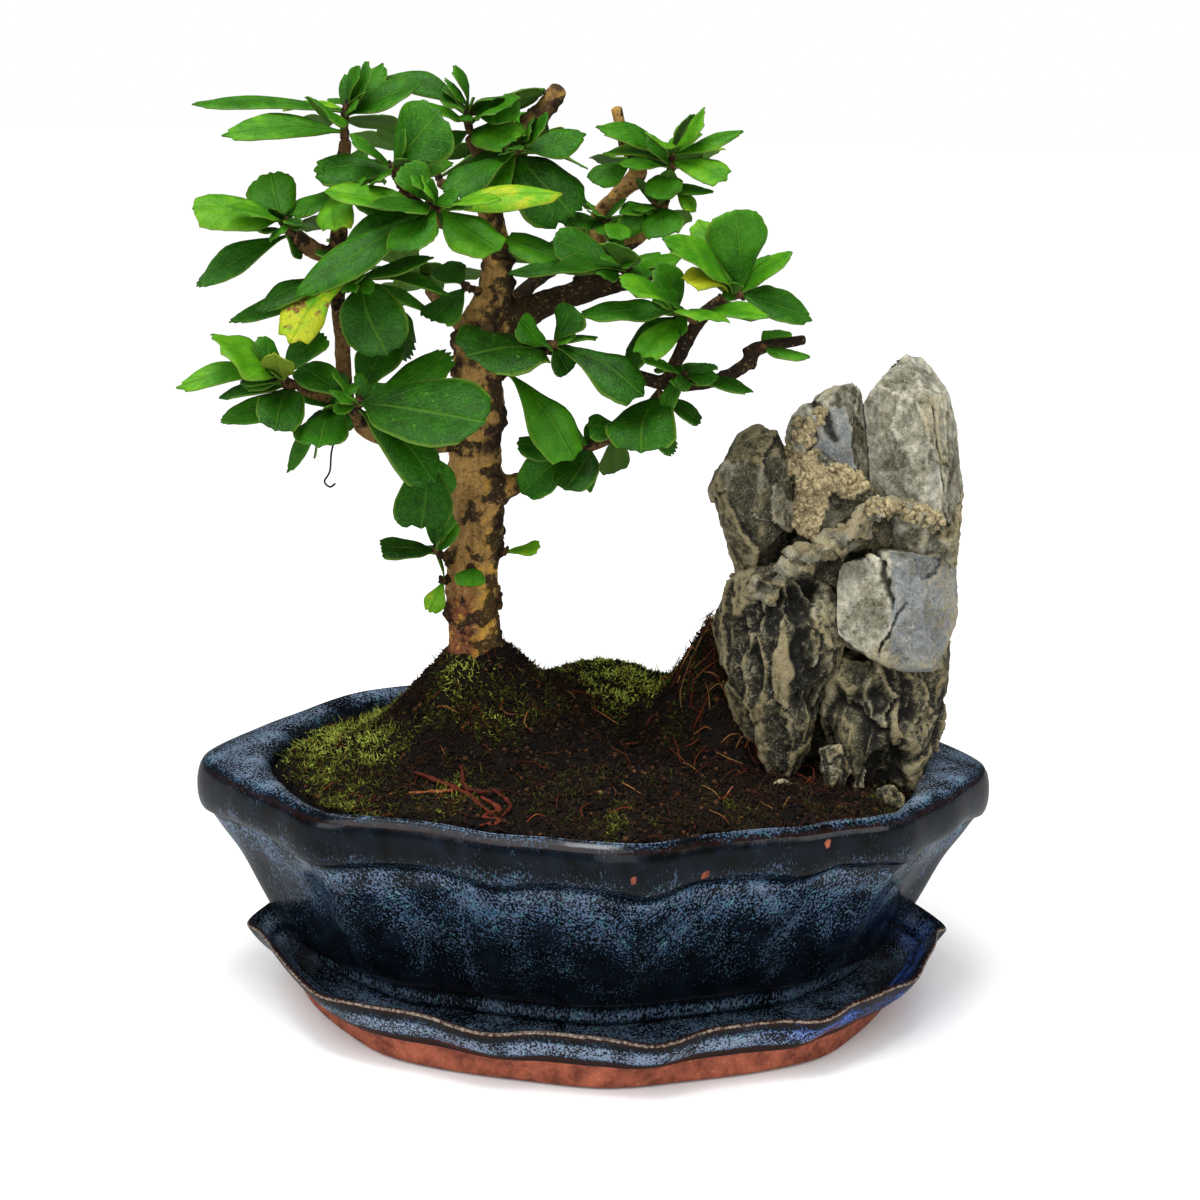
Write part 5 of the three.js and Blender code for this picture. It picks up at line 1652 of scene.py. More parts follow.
    def wrinkle(self, skin: Skin, bones: tuple[Limb, ...], knots: Array) -> None:
        """Raises the bark and marks its thickness, painted shade and knobs.

        A corner moves out by fissures along the wood and finer waves, less on thin twigs.

        Args:
            skin: the fused wood.
            bones: the limbs' points and radii.
            knots: each knob's place and size.
        """
        line = np.vstack([self.sampled(limb, 40) for limb in bones])
        thick, near = np.zeros(len(skin.points)), np.zeros(len(skin.points))
        for start in range(0, len(skin.points), 4000):
            part = slice(start, start + 4000)
            away = ((skin.points[part, None] - line[None, :, :3]) ** 2).sum(-1) / line[:, 3] ** 2
            thick[part] = line[np.argmin(away, axis=1), 3]
            gap = np.sqrt(((skin.points[part, None] - knots[None, :, :3]) ** 2).sum(-1)) / (1.5 * knots[:, 3])
            near[part] = np.clip(1.25 - gap.min(axis=1), 0, 1)
        out = normals_of(skin)
        height = np.clip(thick / 7, 0.3, 1)
        rough = 0.42 * ridges(skin.points, (2.4, 2.4, 8), 3) + 0.34 * layered(skin.points, 2.6, 8, 3)
        swell = 0.5 * layered(skin.points, (9, 9, 14), 61, 2) * np.clip(thick / 6 - 0.3, 0, 1)
        skin.points += out * (height * rough + swell)[:, None]
        x, _, z = skin.points.T
        red = ramp(z, 138, 116) * np.clip((-38 - x) / 9 + 0.6, 0, 1)
        gold = np.clip((150 - z) / 34, 0.25, 1) * np.clip((x + 42) / 7, 0.2, 1)
        # Painted shade under the crown: limbs there are marked darker.
        hidden = ramp(x, -33, -27) * ramp(z, 228, 220) * ramp(z, 178, 184)
        pruned = (z > 226) & (x > -30) & (x < 12)
        thick = np.where(pruned, np.maximum(thick, 3.6), thick)
        near = np.maximum(near, np.clip(1.4 - np.hypot(x + 17, z - 271.5) / 2.6, 0, 1))
        # Painted shade: bark that faces right and limbs under the crown darken, the pruned limb less.
        shade = np.clip(0.9 * out[:, 0] - 0.1 * out[:, 1] + 0.1, -1, 1) + 1.9 * hidden - 0.6 * pruned
        skin.marked(thick=thick, knob=near, shade=shade, red=red, gold=gold)


# Leaves


class Form(Enum):
    """Leaf forms: places along the blade with the half width there, and how far the tip is notched in."""

    OBOVATE = (((0, 0.07), (0.1, 0.1), (0.32, 0.52), (0.62, 0.95), (0.8, 0.94), (0.925, 0.74)), 0.0)
    ROUND = (((0, 0.08), (0.08, 0.14), (0.28, 0.74), (0.58, 1.0), (0.78, 0.95), (0.915, 0.72)), 0.0)
    POINTED = (((0, 0.07), (0.1, 0.16), (0.3, 0.64), (0.58, 1.0), (0.8, 0.78), (0.93, 0.42)), -0.02)
    NOTCHED = (((0, 0.07), (0.1, 0.16), (0.3, 0.6), (0.6, 0.97), (0.8, 0.97), (0.93, 0.8)), 0.05)


FORM_LETTERS = {"o": Form.OBOVATE, "r": Form.ROUND, "p": Form.POINTED, "n": Form.NOTCHED}

# Shoots: stem radius, stem points, then each blade's place along the stem, its tip, its greatest width and,
# where they aren't 0 and "o", its turn about the midrib in degrees and its form.
SHOOTS = {
    "shoot_top_left": (1.3, ((-77, 0, 253), (-77, -2, 260), (-76, -3, 264)), (
        (0.75, -117, -8, 262, 9, 10, "p"), (0.25, -108, -16, 254, 10, 0, "p"), (0.8, -94, 4, 266, 8, 15),
        (0.3, -83, -20, 264, 13), (0.7, -68, 4, 276, 11, -10, "p"), (0.6, -56, -6, 271, 12, 0, "p"),
        (0.9, -77, 26, 266, 11), (0.4, -89, 24, 258, 11), (0.5, -67, 24, 262, 11))),
    "shoot_upper_left": (1.3, ((-61, -8, 242), (-62, -12, 246), (-63, -14, 248)), (
        (0.95, -51, -18, 263, 20, 0, "r"), (0.9, -74, -18, 255, 7), (0.5, -84, -14, 246, 14),
        (0.6, -47, -10, 250, 8, 0, "p"), (0.4, -73, 12, 251, 11))),
    "shoot_top": (1.2, ((-42, 4, 257), (-43, 2, 261), (-42, 2, 264)), (
        (0.9, -66, 4, 273, 9, 0, "p"), (0.95, -29, -6, 264, 9), (0.4, -54, -8, 264, 8, 0, "p"),
        (0.3, -31, -12, 265, 15), (0.1, -30, -10, 257, 14, 0, "r"), (0.7, -21, 12, 268, 12, 0, "r"),
        (0.1, -56, 2, 251, 12), (0.6, -49, 26, 266, 11))),
    "shoot_stub": (1.3, ((-30, 9, 250), (-29, 2, 252), (-28, -3, 254)), (
        (0.7, -47, -24, 242, 11), (0.8, -10, 6, 257, 10, 10, "p"), (0.6, -9, 2, 249, 8, -25, "p"),
        (0.95, -25, -8, 261, 9), (0.8, -21, -10, 262, 9), (0.5, -12, -4, 236, 22, 0, "r"),
        (0.5, -40, -10, 240, 14))),
    "shoot_stub_back": (1.2, ((-28, 14, 254), (-27, 22, 255), (-26, 28, 256)), (
        (0.6, -17, 44, 255, 11), (0.8, -33, 46, 261, 11), (0.9, -24, 52, 263, 11))),
    "shoot_left": (1.4, ((-90, -12, 228), (-92, -14, 230), (-93, -15, 233)), (
        (0.9, -115, -24, 238, 15, 0, "r"), (0.8, -103, -32, 237, 12), (0.95, -97, -8, 245, 14, 0, "r"),
        (0.35, -101, -12, 231, 9, 25), (0.2, -115, -24, 216, 9, 0, "p"), (0.6, -86, 20, 228, 9),
        (0.5, -102, 12, 238, 11))),
    "shoot_left_inner": (1.2, ((-78, -2, 237), (-77, -6, 240), (-76, -8, 242)), (
        (0.8, -78, -24, 231, 11, 0, "r"), (0.7, -92, -12, 236, 10, 0, "p"), (0.4, -88, 10, 238, 9),
        (0.95, -65, -20, 236, 8), (0.5, -82, 22, 246, 11), (0.6, -71, 22, 243, 11))),
    "shoot_front": (1.5, ((-55, -14, 235), (-52, -22, 238), (-49, -26, 237)), (
        (0.3, -79, -26, 243, 13, 0, "p"), (0.5, -59, -25, 248, 11), (0.6, -63, -40, 238, 16),
        (0.7, -53, -30, 245, 9, 0, "r"), (0.9, -18, -30, 244, 10, 0, "p"), (0.95, -33, -42, 240, 8, 0, "p"),
        (0.8, -59, -44, 227, 13), (0.2, -75, -26, 226, 10, 0, "p"), (0.35, -86, -42, 215, 12, 0, "p"),
        (1, -33, -34, 227, 14, 0, "r"))),
    "shoot_centre_left": (1.4, ((-78, -8, 214), (-74, -16, 217), (-71, -20, 218)), (
        (0.2, -98, -28, 211, 10, 0, "p"), (0.1, -106, -22, 205, 8, 0, "p"), (0.3, -89, -34, 201, 13),
        (0.8, -52, -26, 224, 8, 0, "p"), (0.9, -47, -22, 216, 8, 0, "p"), (0.95, -63, -34, 198, 18, 0, "r"),
        (0.6, -56, -6, 196, 13), (0.5, -52, -4, 207, 6, 0, "p"), (0.4, -77, 14, 219, 11))),
    "shoot_lower_left": (1.5, ((-89, -22, 188), (-91, -25, 188), (-93, -28, 192)), (
        (0.9, -108, -36, 203, 20, 0, "r"), (0.7, -92, -44, 201, 9, 0, "p"),
        (0.95, -119, -34, 189, 8, 0, "p"), (0.6, -108, -34, 187, 7, 0, "p"),
        (0.3, -108, -32, 179, 8, 0, "p"), (0.25, -92, -44, 181, 13, 0, "r"), (0.8, -82, -24, 203, 10),
        (0.4, -101, 0, 189, 10))),
    "shoot_lower_left_inner": (1.2, ((-78, -18, 182), (-79, -22, 182), (-80, -23, 181)), (
        (0.6, -81, -42, 175, 15, 0, "r"), (0.9, -92, -22, 164, 5, 0, "p"), (0.5, -86, -10, 166, 5, 0, "p"),
        (0.8, -87, -20, 178, 10))),
    "shoot_big_front": (1.5, ((-72, -24, 180), (-72, -28, 183), (-71, -32, 185)), (
        (0.95, -36, -52, 182, 26, 0, "r"), (0.5, -50, -40, 165, 16), (0.8, -47, -14, 196, 13),
        (0.9, -88, -18, 194, 12), (0.7, -64, -12, 200, 13))),
    "shoot_hanging": (1.2, ((-50, -6, 170), (-53, -12, 169), (-55, -17, 168)), (
        (0.95, -54, -26, 148, 17, 0, "n"), (0.6, -46, -16, 157, 9))),
    "trunk_shoot_left": (1.1, ((-46, 0, 134), (-49, -6, 137), (-51, -8, 139)), (
        (0.8, -66, -14, 142, 9, 0, "n"), (0.9, -47, -14, 150, 6), (0.5, -56, 10, 138, 7))),
    "sprout_front": (0.9, ((-40, -2, 131), (-40, -6, 133), (-41, -8, 134)), (
        (0.9, -40, -14, 130, 9, 0, "r"),)),
    "sprout_left": (0.9, ((-47, 4, 127), (-48, 2, 128), (-49, 0, 128)), (
        (0.8, -53, -2, 119, 7, 20),)),
    "sprout_right": (0.9, ((-32, 4, 136), (-31, 3, 136), (-30, 2, 137)), (
        (0.8, -21, -3, 140, 6),)),
    "shoot_dark_front": (1.4, ((-21, -8, 197), (-19, -14, 199), (-17, -17, 200)), (
        (0.3, -41, -34, 199, 25, 0, "r"), (0.8, -13, -18, 211, 11), (0.9, 7, -28, 189, 15),
        (0.7, -13, -14, 192, 9), (0.6, -27, -16, 207, 11))),
    "sprout_right_high": (1, ((-34, -3, 190), (-32, -8, 191), (-30, -10, 191)), (
        (0.9, -11, -24, 171, 15),)),
    "shoot_right_low": (1.4, ((13, -14, 187), (6, -13, 178), (-4, -10, 171), (-12, -8, 168)), (
        (0.04, 6, -36, 175, 20, 0, "r"), (0.45, -7, -14, 178, 12), (0.3, 18, -12, 170, 8),
        (0.02, 25, -16, 180, 8), (0.95, -27, -10, 172, 10), (0.75, -14, -20, 160, 13, 0, "r"),
        (0.8, -6, -4, 156, 5, 0, "p"), (0.97, -26, -12, 157, 12, 0, "r"), (0.5, 1, 12, 160, 10))),
    "shoot_twig_base": (1.1, ((18, -14, 188), (19, -18, 191), (19, -20, 193)), (
        (0.4, 37, -26, 190, 9, 0, "p"), (0.9, 13, -8, 195, 8), (0.6, 29, 6, 195, 9))),
    "shoot_twig_end": (1, ((40, -9, 198), (41, -12, 200), (42, -14, 200)), (
        (0.5, 54, -18, 198, 7, 0, "p"), (0.6, 50, 6, 203, 8))),
    "shoot_upper_right": (1.3, ((15, 18, 242), (16, 16, 248), (16, 14, 253)), (
        (0.9, -5, 2, 260, 11, 0, "p"), (0.97, 23, 4, 265, 11), (0.95, 9, -6, 258, 8),
        (0.9, 35, 8, 259, 9, 0, "p"), (0.7, -3, 6, 254, 7, 0, "p"), (0.6, 1, -2, 248, 8),
        (0.75, 30, 0, 247, 11), (0.4, 11, 0, 241, 10, 0, "r"), (0.15, 27, 6, 243, 8, 0, "p"),
        (0.2, 22, 6, 237, 6), (0.8, 22, 40, 260, 11), (0.7, 8, 40, 257, 11), (0.5, 32, 40, 252, 11))),
    "shoot_upper_right_low": (1.1, ((13, 18, 235), (12, 12, 237), (11, 8, 239)), (
        (0.6, 13, -4, 230, 12, 0, "r"), (0.8, 1, 4, 236, 7, 0, "p"), (0.4, 20, 30, 233, 10))),
    "shoot_upper_mid": (1, ((6, 24, 250), (5, 18, 251), (4, 14, 252)), (
        (0.7, -7, 6, 244, 9), (0.5, -4, 42, 250, 10))),
    "shoot_right_inner": (1.5, ((22, -12, 207), (19, -16, 209), (16, -18, 210)), (
        (0.9, -10, -16, 208, 13, 0, "p"), (0.8, 2, -34, 220, 13), (0.85, 12, -22, 223, 11, 0, "p"),
        (0.6, 1, -8, 196, 13), (0.3, 7, -34, 201, 10), (0.2, 37, -40, 214, 12, 0, "p"),
        (0.5, 25, -42, 213, 12), (0.7, 8, 10, 211, 11), (0.4, 18, 12, 199, 10))),
    "shoot_right": (1.5, ((28, -10, 212), (32, -12, 214), (35, -13, 215)), (
        (0.95, 32, -18, 238, 18), (0.7, 14, -36, 232, 13, 0, "p"), (0.8, 24, -2, 236, 9),
        (0.9, 47, -20, 227, 9, 0, "p"), (0.85, 44, 4, 225, 8), (0.5, 19, -34, 221, 9, 0, "r"),
        (0.6, 19, -24, 227, 11, 0, "p"), (0.9, 54, -18, 210, 12, 0, "p"), (0.3, 39, 28, 221, 11),
        (0.4, 49, 24, 213, 11))),
    "shoot_middle": (1.3, ((-2, 11, 215), (-1, -2, 219), (1, -8, 221), (5, -10, 220)), (
        (0.6, -18, -10, 229, 14), (0.3, -32, -2, 227, 14), (0.95, -18, -26, 223, 8, 0, "p"),
        (0.8, 0, -26, 228, 13), (0.5, -30, -14, 219, 8, 0, "p"), (0.9, 17, -14, 225, 11))),
    "shoot_middle_up": (1.1, ((-4, 18, 232), (-4, 12, 233), (-3, 8, 233)), (
        (0.6, -16, 2, 234, 9, 0, "p"), (0.9, 1, -6, 230, 8), (0.5, -11, 34, 239, 10))),
    "shoot_trunk_left": (1.1, ((-39, 2, 213), (-42, -2, 214), (-43, -4, 215)), (
        (0.7, -52, -14, 206, 13), (0.9, -50, 6, 221, 11))),
}
# Shoots behind the crown, whose blades fan out by a rule: stem, number of blades, seed.
BACK_SHOOTS = {
    "shoot_back_left": (((-55, 36, 211), (-60, 41, 214), (-66, 45, 217)), 6, 3),
    "shoot_back_right": (((-15, 42, 219), (-11, 47, 222), (-6, 50, 224)), 5, 5),
    "shoot_back_top": (((-52, 36, 243), (-54, 39, 248), (-55, 41, 253)), 5, 8),
}
# Tints of single blades, by their number in the shoot: above 0.5 young and yellow, near 0 old and dark.
YOUNG = {
    "shoot_lower_left": {1: 1, 0: 0.66, 2: 0.6}, "shoot_centre_left": {2: 0.9, 5: 0.14},
    "shoot_right": {5: 0.95, 6: 0.8, 1: 0.55, 3: 0.6, 0: 0.45},
    "shoot_front": {4: 0.85, 5: 0.72, 0: 0.6, 9: 0.55}, "shoot_left_inner": {5: 0.7, 0: 0.68},
    "shoot_top_left": {2: 0.75, 0: 0.4, 1: 0.55}, "shoot_upper_right": {1: 0.66, 3: 0.55, 9: 0.7},
    "shoot_right_inner": {5: 0.55, 6: 0.6}, "sprout_right": {0: 0.75}, "sprout_left": {0: 0.72},
    "sprout_front": {0: 0.5}, "trunk_shoot_left": {0: 0.02}, "shoot_middle": {3: 0.45, 5: 0.52, 1: 0.5},
    "shoot_big_front": {0: 0.14, 1: 0.2}, "shoot_dark_front": {0: 0.06}, "shoot_hanging": {0: 0.14},
    "shoot_right_low": {0: 0.16}, "shoot_upper_left": {0: 0.3}, "shoot_stub": {5: 0.1},
}
# Blades with a dry brown part, by shoot and number, and how much of them is dry.
SCORCHED = {("shoot_centre_left", 2): 0.42}


@dataclass(frozen=True)
class Blade:
    """One leaf of a shoot.

    Attributes:
        at: where it leaves the stem, as a share of it.
        x: where its tip is along x.
        y: where its tip is along y.
        z: where its tip is along z.
        width: its greatest width.
        roll: its turn about the midrib, in degrees.
        form: the letter of its form.
    """

    at: float
    x: float
    y: float
    z: float
    width: float
    roll: float = 0.0
    form: str = "o"

    def tint(self) -> float:
        """How pale it is: paler high up, in front and to the upper right, which is painted light on the
        outside of the crown, and darker when it is large.
        """
        right = ramp(self.x, -5, 20) * ramp(self.z, 190, 205)
        large = ramp(self.width, 16, 28)
        return 0.16 + 0.28 * ramp(self.z, 185, 275) + 0.14 * ramp(self.y, 0, -60) + 0.14 * right - 0.2 * large


@dataclass
class Foliage:
    """All leafy shoots, each a stem with its blades, on the same roots and tips as its CAD node.

    Attributes:
        lean: how far the blades' faces turn to the front, or to the back behind `back_from`.
        back_from: how far back a tip faces the back.
        bow: height of a blade's bow, as a share of its length.
        fold: how steeply its halves rise from the midrib.
        thickness: its thickness in millimetres.
        mesh: corners along and across a blade.
        young_mesh: corners along and across a young blade.
        young_leaves: how many crowd the end of a shoot.
        roll_spread: how unevenly blades are turned, in degrees.
        tint_spread: how much darker and paler than its place asks a blade may be.
        side_veins: how many side veins each half has.
        seed: the random source's seed.
    """

    lean: float = 0.75
    back_from: float = 10.0
    bow: float = 0.03
    fold: float = 0.22
    thickness: float = 0.34
    mesh: tuple[int, int] = (19, 11)
    young_mesh: tuple[int, int] = (9, 7)
    young_leaves: int = 6
    roll_spread: float = 9.0
    tint_spread: tuple[float, float] = (-0.16, 0.26)
    side_veins: float = 6.5
    seed: int = 21

    def blade(self, root: Array, tip: Array, width: float, roll: float, form: Form, mesh: tuple[int, int],
              random: Random) -> Skin:
        """One leaf, a thin closed sheet.

        At share v along and a across, from -1 to 1, the place is the root, plus the blade's length times v
        along it, plus the outline's half width times a to the side, plus a rise. The rise is the bow's sine,
        the fold's edges, which curl back down outside, waves that grow towards the edges, a twist that turns
        the blade about its midrib from root to tip, and a low cushion between each two side veins. The
        underside lies the thickness below, and more along the midrib.

        Args:
            root: where it leaves the stem.
            tip: where its tip is.
            width: its greatest width.
            roll: its turn about the midrib, in degrees.
            form: its outline.
            mesh: corners along it and across it.
            random: the seeded source.

        Returns:
            The blade, with its share across and along as UV, marked with its rim, underside and tint.
        """
        rows, columns = mesh
        length = float(np.linalg.norm(tip - root))
        along = (tip - root) / length
        light = np.array([0, self.lean if tip[1] > self.back_from else -self.lean, 1.0])
        face = unit(light - along * (light @ along))
        turn = math.radians(roll)
        face = face * math.cos(turn) + np.cross(along, face) * math.sin(turn)
        side = np.cross(face, along)
        spans, notch = form.value
        v = np.linspace(0, 1, rows)[:, None]
        outline = smooth_line(spans, v[:, 0])
        a = np.linspace(-1, 1, columns)[None, :]
        place, half = outline[:, :1], np.maximum(outline[:, 1:] * width / 2, 0.45)
        uneven = random.uniform(-0.1, 0.1)
        half = half * (1 + uneven * a * np.sin(np.pi * place))
        scallop = random.uniform(0.006, 0.022) * np.cos(np.pi * np.arange(rows) * random.uniform(0.45, 0.75))
        scallop = scallop[:, None]
        half = half * (1 + scallop * ramp(v, 0.45, 0.45 + 1 / 3))
        teeth = random.integers(2, 6)
        end = 1 - place[-1, 0]
        nick = random.uniform(0.004, 0.032) * np.cos(np.pi * a * teeth + random.uniform(-0.6, 0.6))
        apex = v**6 * (end * (1 - np.abs(a) ** 2.3) - notch * (1 - np.abs(a)) + nick)
        across = half * a
        far = np.abs(across)
        fold = random.uniform(0.5, 1.4) * self.fold * (np.sqrt(far**2 + 0.25) - 0.5)
        fold = fold - random.uniform(0.12, 0.42) * np.abs(a) ** 3 * half
        phase, swing = random.uniform(0, TURN), random.uniform(0.02, 0.075)
        ripple = swing * width * np.abs(a) ** 1.5 * np.sin(place * random.uniform(6, 12) + phase + 1.5 * a)
        twist = random.normal(0, 0.2) * (place - 0.35) * across
        droop = random.uniform(-0.03, 0.18) * length * place**4
        curl = random.uniform(-0.1, 0.1) * length * np.sin(np.pi * place) * v
        quilt = np.cos(2 * np.pi * self.side_veins * (place - 0.33 * np.abs(a)))
        quilt = -0.012 * width * quilt * np.sin(np.pi * np.abs(a)) * np.sin(np.pi * place)
        arch = np.sin(np.pi * place)
        level = length * self.bow * arch + fold + ripple * arch + curl - droop + twist + quilt
        sway = random.normal(0, 0.05) * length * arch * (1 - v**4)
        top = (root + along * (length * (place + apex))[..., None] + side * (across + sway)[..., None]
               + face * level[..., None])
        rib = 0.5 * np.exp(-((across / 0.7) ** 2)) * (1 - 0.75 * place)
        bottom = top - face * (self.thickness + rib)[..., None]
        both = np.concatenate([top, bottom[:, ::-1]], axis=1)
        around = 2 * columns
        inner = np.arange(columns - 1)
        low = np.stack([inner, around - 1 - inner, around - 2 - inner, inner + 1], -1)
        high = (rows - 1) * around + low[:, ::-1]
        share = np.broadcast_to((a + 1) / 2, (rows, columns))
        uv = np.stack([np.concatenate([share, share[:, ::-1]], 1), np.repeat(v, around, 1)], -1)
        rim = np.broadcast_to(np.abs(a), (rows, columns))
        tint = np.broadcast_to(0.16 * (place - 0.45) + 0.06 * np.abs(a), (rows, columns))
        faces = [(ring_faces(rows, around), 0), (low, 0), (high, 0)]
        skin = Skin(both.reshape(-1, 3), faces, uv=uv.reshape(-1, 2))
        under = np.concatenate([np.zeros((rows, columns)), np.ones((rows, columns))], 1)
        return skin.marked(rim=np.concatenate([rim, rim[:, ::-1]], 1).ravel(), under=under.ravel(),
                           tint=np.concatenate([tint, tint[:, ::-1]], 1).ravel())

    def young(self, stem: Array, random: Random) -> list[Skin]:
        """The small leaves that crowd the end of a shoot.

        Args:
            stem: the stem's points.
            random: the seeded source.

        Returns:
            One skin a leaf.
        """
        ahead = unit(stem[-1] - stem[0])
        skins = []
        for _ in range(self.young_leaves):
            root = smooth_line(stem, np.array([random.uniform(0.55, 1.0)]))[0]
            way = unit(0.5 * ahead + 0.9 * unit(random.normal(0, 1, 3)) + np.array([0, -0.15, 0.25]))
            length = random.uniform(6.5, 14.0)
            form = (Form.OBOVATE, Form.ROUND)[random.integers(2)]
            tip, roll = root + length * way, random.uniform(-40, 40)
            skin = self.blade(root, tip, 0.5 * length, roll, form, self.young_mesh, random)
            skins.append(skin.marked(tint=skin.marks["tint"] + random.uniform(0.18, 0.5)))
        return skins

    def scales(self, stem: Array, radius: float, random: Random) -> Skin:
        """Dark bud scales and leaf scars crowded round a stem.

        Args:
            stem: the stem's points.
            radius: its radius.
            random: the seeded source.

        Returns:
            The scales.
        """
        count = 14
        at = random.uniform(0.0, 1.0, count)
        way = unit(random.normal(0, 1, (count, 3)))
        place = smooth_line(stem, at) + way * radius * 0.9
        size = random.uniform(0.45, 0.95, (count, 1)) * random.uniform(0.8, 1.4, (count, 3))
        frames = upright(way, random.uniform(0, TURN, count), random.uniform(0, 0.8, count), size)
        marks = {"knob": np.ones(count), "thick": np.full(count, 1.2)}
        return scattered(knob(), place, frames, marks, part=1)

    def fan(self, stem: tuple[Place, ...], count: int, seed: int) -> list[tuple[float, ...]]:
        """The blades of a back shoot, each turned on by the same angle, as the part's source lays them.

        Args:
            stem: the stem's points.
            count: how many blades.
            seed: which lengths and rises they take.

        Returns:
            One row a blade, as in SHOOTS.
        """
        blades = []
        for i in range(count):
            share = (i + 0.5) / count
            turn = math.radians(137.5 * i + 40 * seed)
            length = 22 + 8 * self.chance(seed, i)
            rise = -0.15 + 0.6 * self.chance(seed, i + 20)
            x, y, z = stem[math.floor(share * (len(stem) - 1) + 0.5)]
            blades.append((share, x + math.cos(turn) * length, y + 8 + math.sin(turn) * length * 0.6,
                           z + rise * length, length * 0.42))
        return blades

    @staticmethod
    def chance(seed: int, place: int) -> float:
        """A number between 0 and 1 that is fixed by its place in a seeded row."""
        wave = math.sin(seed * 127.1 + place * 311.7) * 43758.5453
        return wave - math.floor(wave)

    def dress(self, leaf: Material, bark: Material) -> None:
        """Makes every shoot.

        Args:
            leaf: the leaf material.
            bark: the bark material, for the stems.
        """
        random = np.random.default_rng(self.seed)
        shoots = dict(SHOOTS)
        for name, (stem, count, seed) in BACK_SHOOTS.items():
            shoots[name] = (1.3, stem, self.fan(stem, count, seed))
        for name, (radius, stem, blades) in shoots.items():
            skins = [tube(stem, [radius * 0.95] * 3, 8, 14, part=1, lumps=0.08).marked(knob=0.25),
                     self.scales(np.array(stem, float), radius, random)]
            for k, row in enumerate(blades):
                blade = Blade(*row)
                root = smooth_line(stem, np.array([blade.at]))[0]
                tip = np.array([blade.x, blade.y, blade.z], float)
                roll = blade.roll + random.normal(0, self.roll_spread)
                form = FORM_LETTERS[blade.form]
                skin = self.blade(root, tip, blade.width, roll, form, self.mesh, random)
                tint = blade.tint() + random.uniform(*self.tint_spread)
                tint = YOUNG.get(name, {}).get(k, tint)
                skin.marked(tint=skin.marks["tint"] + tint, scorch=SCORCHED.get((name, k), 0.0))
                skins.append(skin)
            if len(blades) > 2:
                skins.extend(self.young(np.array(stem, float), random))
            make_piece(f"{name}_leaves", join(skins), [leaf, bark], "leaf", name)


@dataclass
class Tendril:
    """The thin dry tendril that hangs with a hooked end below the lower left shoots."""

    path: tuple[Place, ...] = ((-78, -24, 182), (-77.5, -25, 176), (-79, -25.5, 170), (-79.5, -25.5, 164.5),
                               (-81, -25.5, 161.5), (-79.5, -25.5, 160), (-78, -25.5, 161))
    radius: float = 0.28

    def dress(self, bark: Material) -> None:
        """Makes the tendril.

        Args:
            bark: the bark material.
        """
        thread = tube(self.path, (self.radius, self.radius), 6, 60).marked(knob=0.6)
        make_piece("dry_tendril", thread, [bark], "bark")


# Rock


@dataclass(frozen=True)
class Stone:
    """One stone of the rock, or one that lies loose.

    Attributes:
        node: the CAD node whose form it keeps.
        tone: how pale it is, from 0 to 1.
        ridge: height of its ridges, in millimetres.
        period: the distance between them.
        column: how many times longer than wide they are.
        chip: how far its chips tilt and step, in millimetres.
        chip_size: the chips' width.
        pit: depth of its pits.
        pit_size: their spacing.
        faces: flat broken faces, each its outward direction, how deep it cuts in and how blue it is.
        cracks: planes of cracks, each a point on it, its direction, half its width and how far it runs.
        voxel: the size of the skin's own faces.
        blue_from: where along x its blue-grey half begins.
        chip_stretch: how many times longer than wide the chips are.
        whole: thin places that don't weather through, each a point and a reach.
    """

    node: str
    tone: float
    ridge: float = 0.6
    period: float = 9.0
    column: float = 2.0
    chip: float = 0.8
    chip_size: float = 7.0
    pit: float = 0.0
    pit_size: float = 9.0
    faces: tuple[tuple[Place, float, float], ...] = ()
    cracks: tuple[tuple[Place, Place, float, float], ...] = ()
    voxel: float = 0.75
    blue_from: float = 999.0
    chip_stretch: float = 1.6
    whole: tuple[tuple[Place, float], ...] = ()


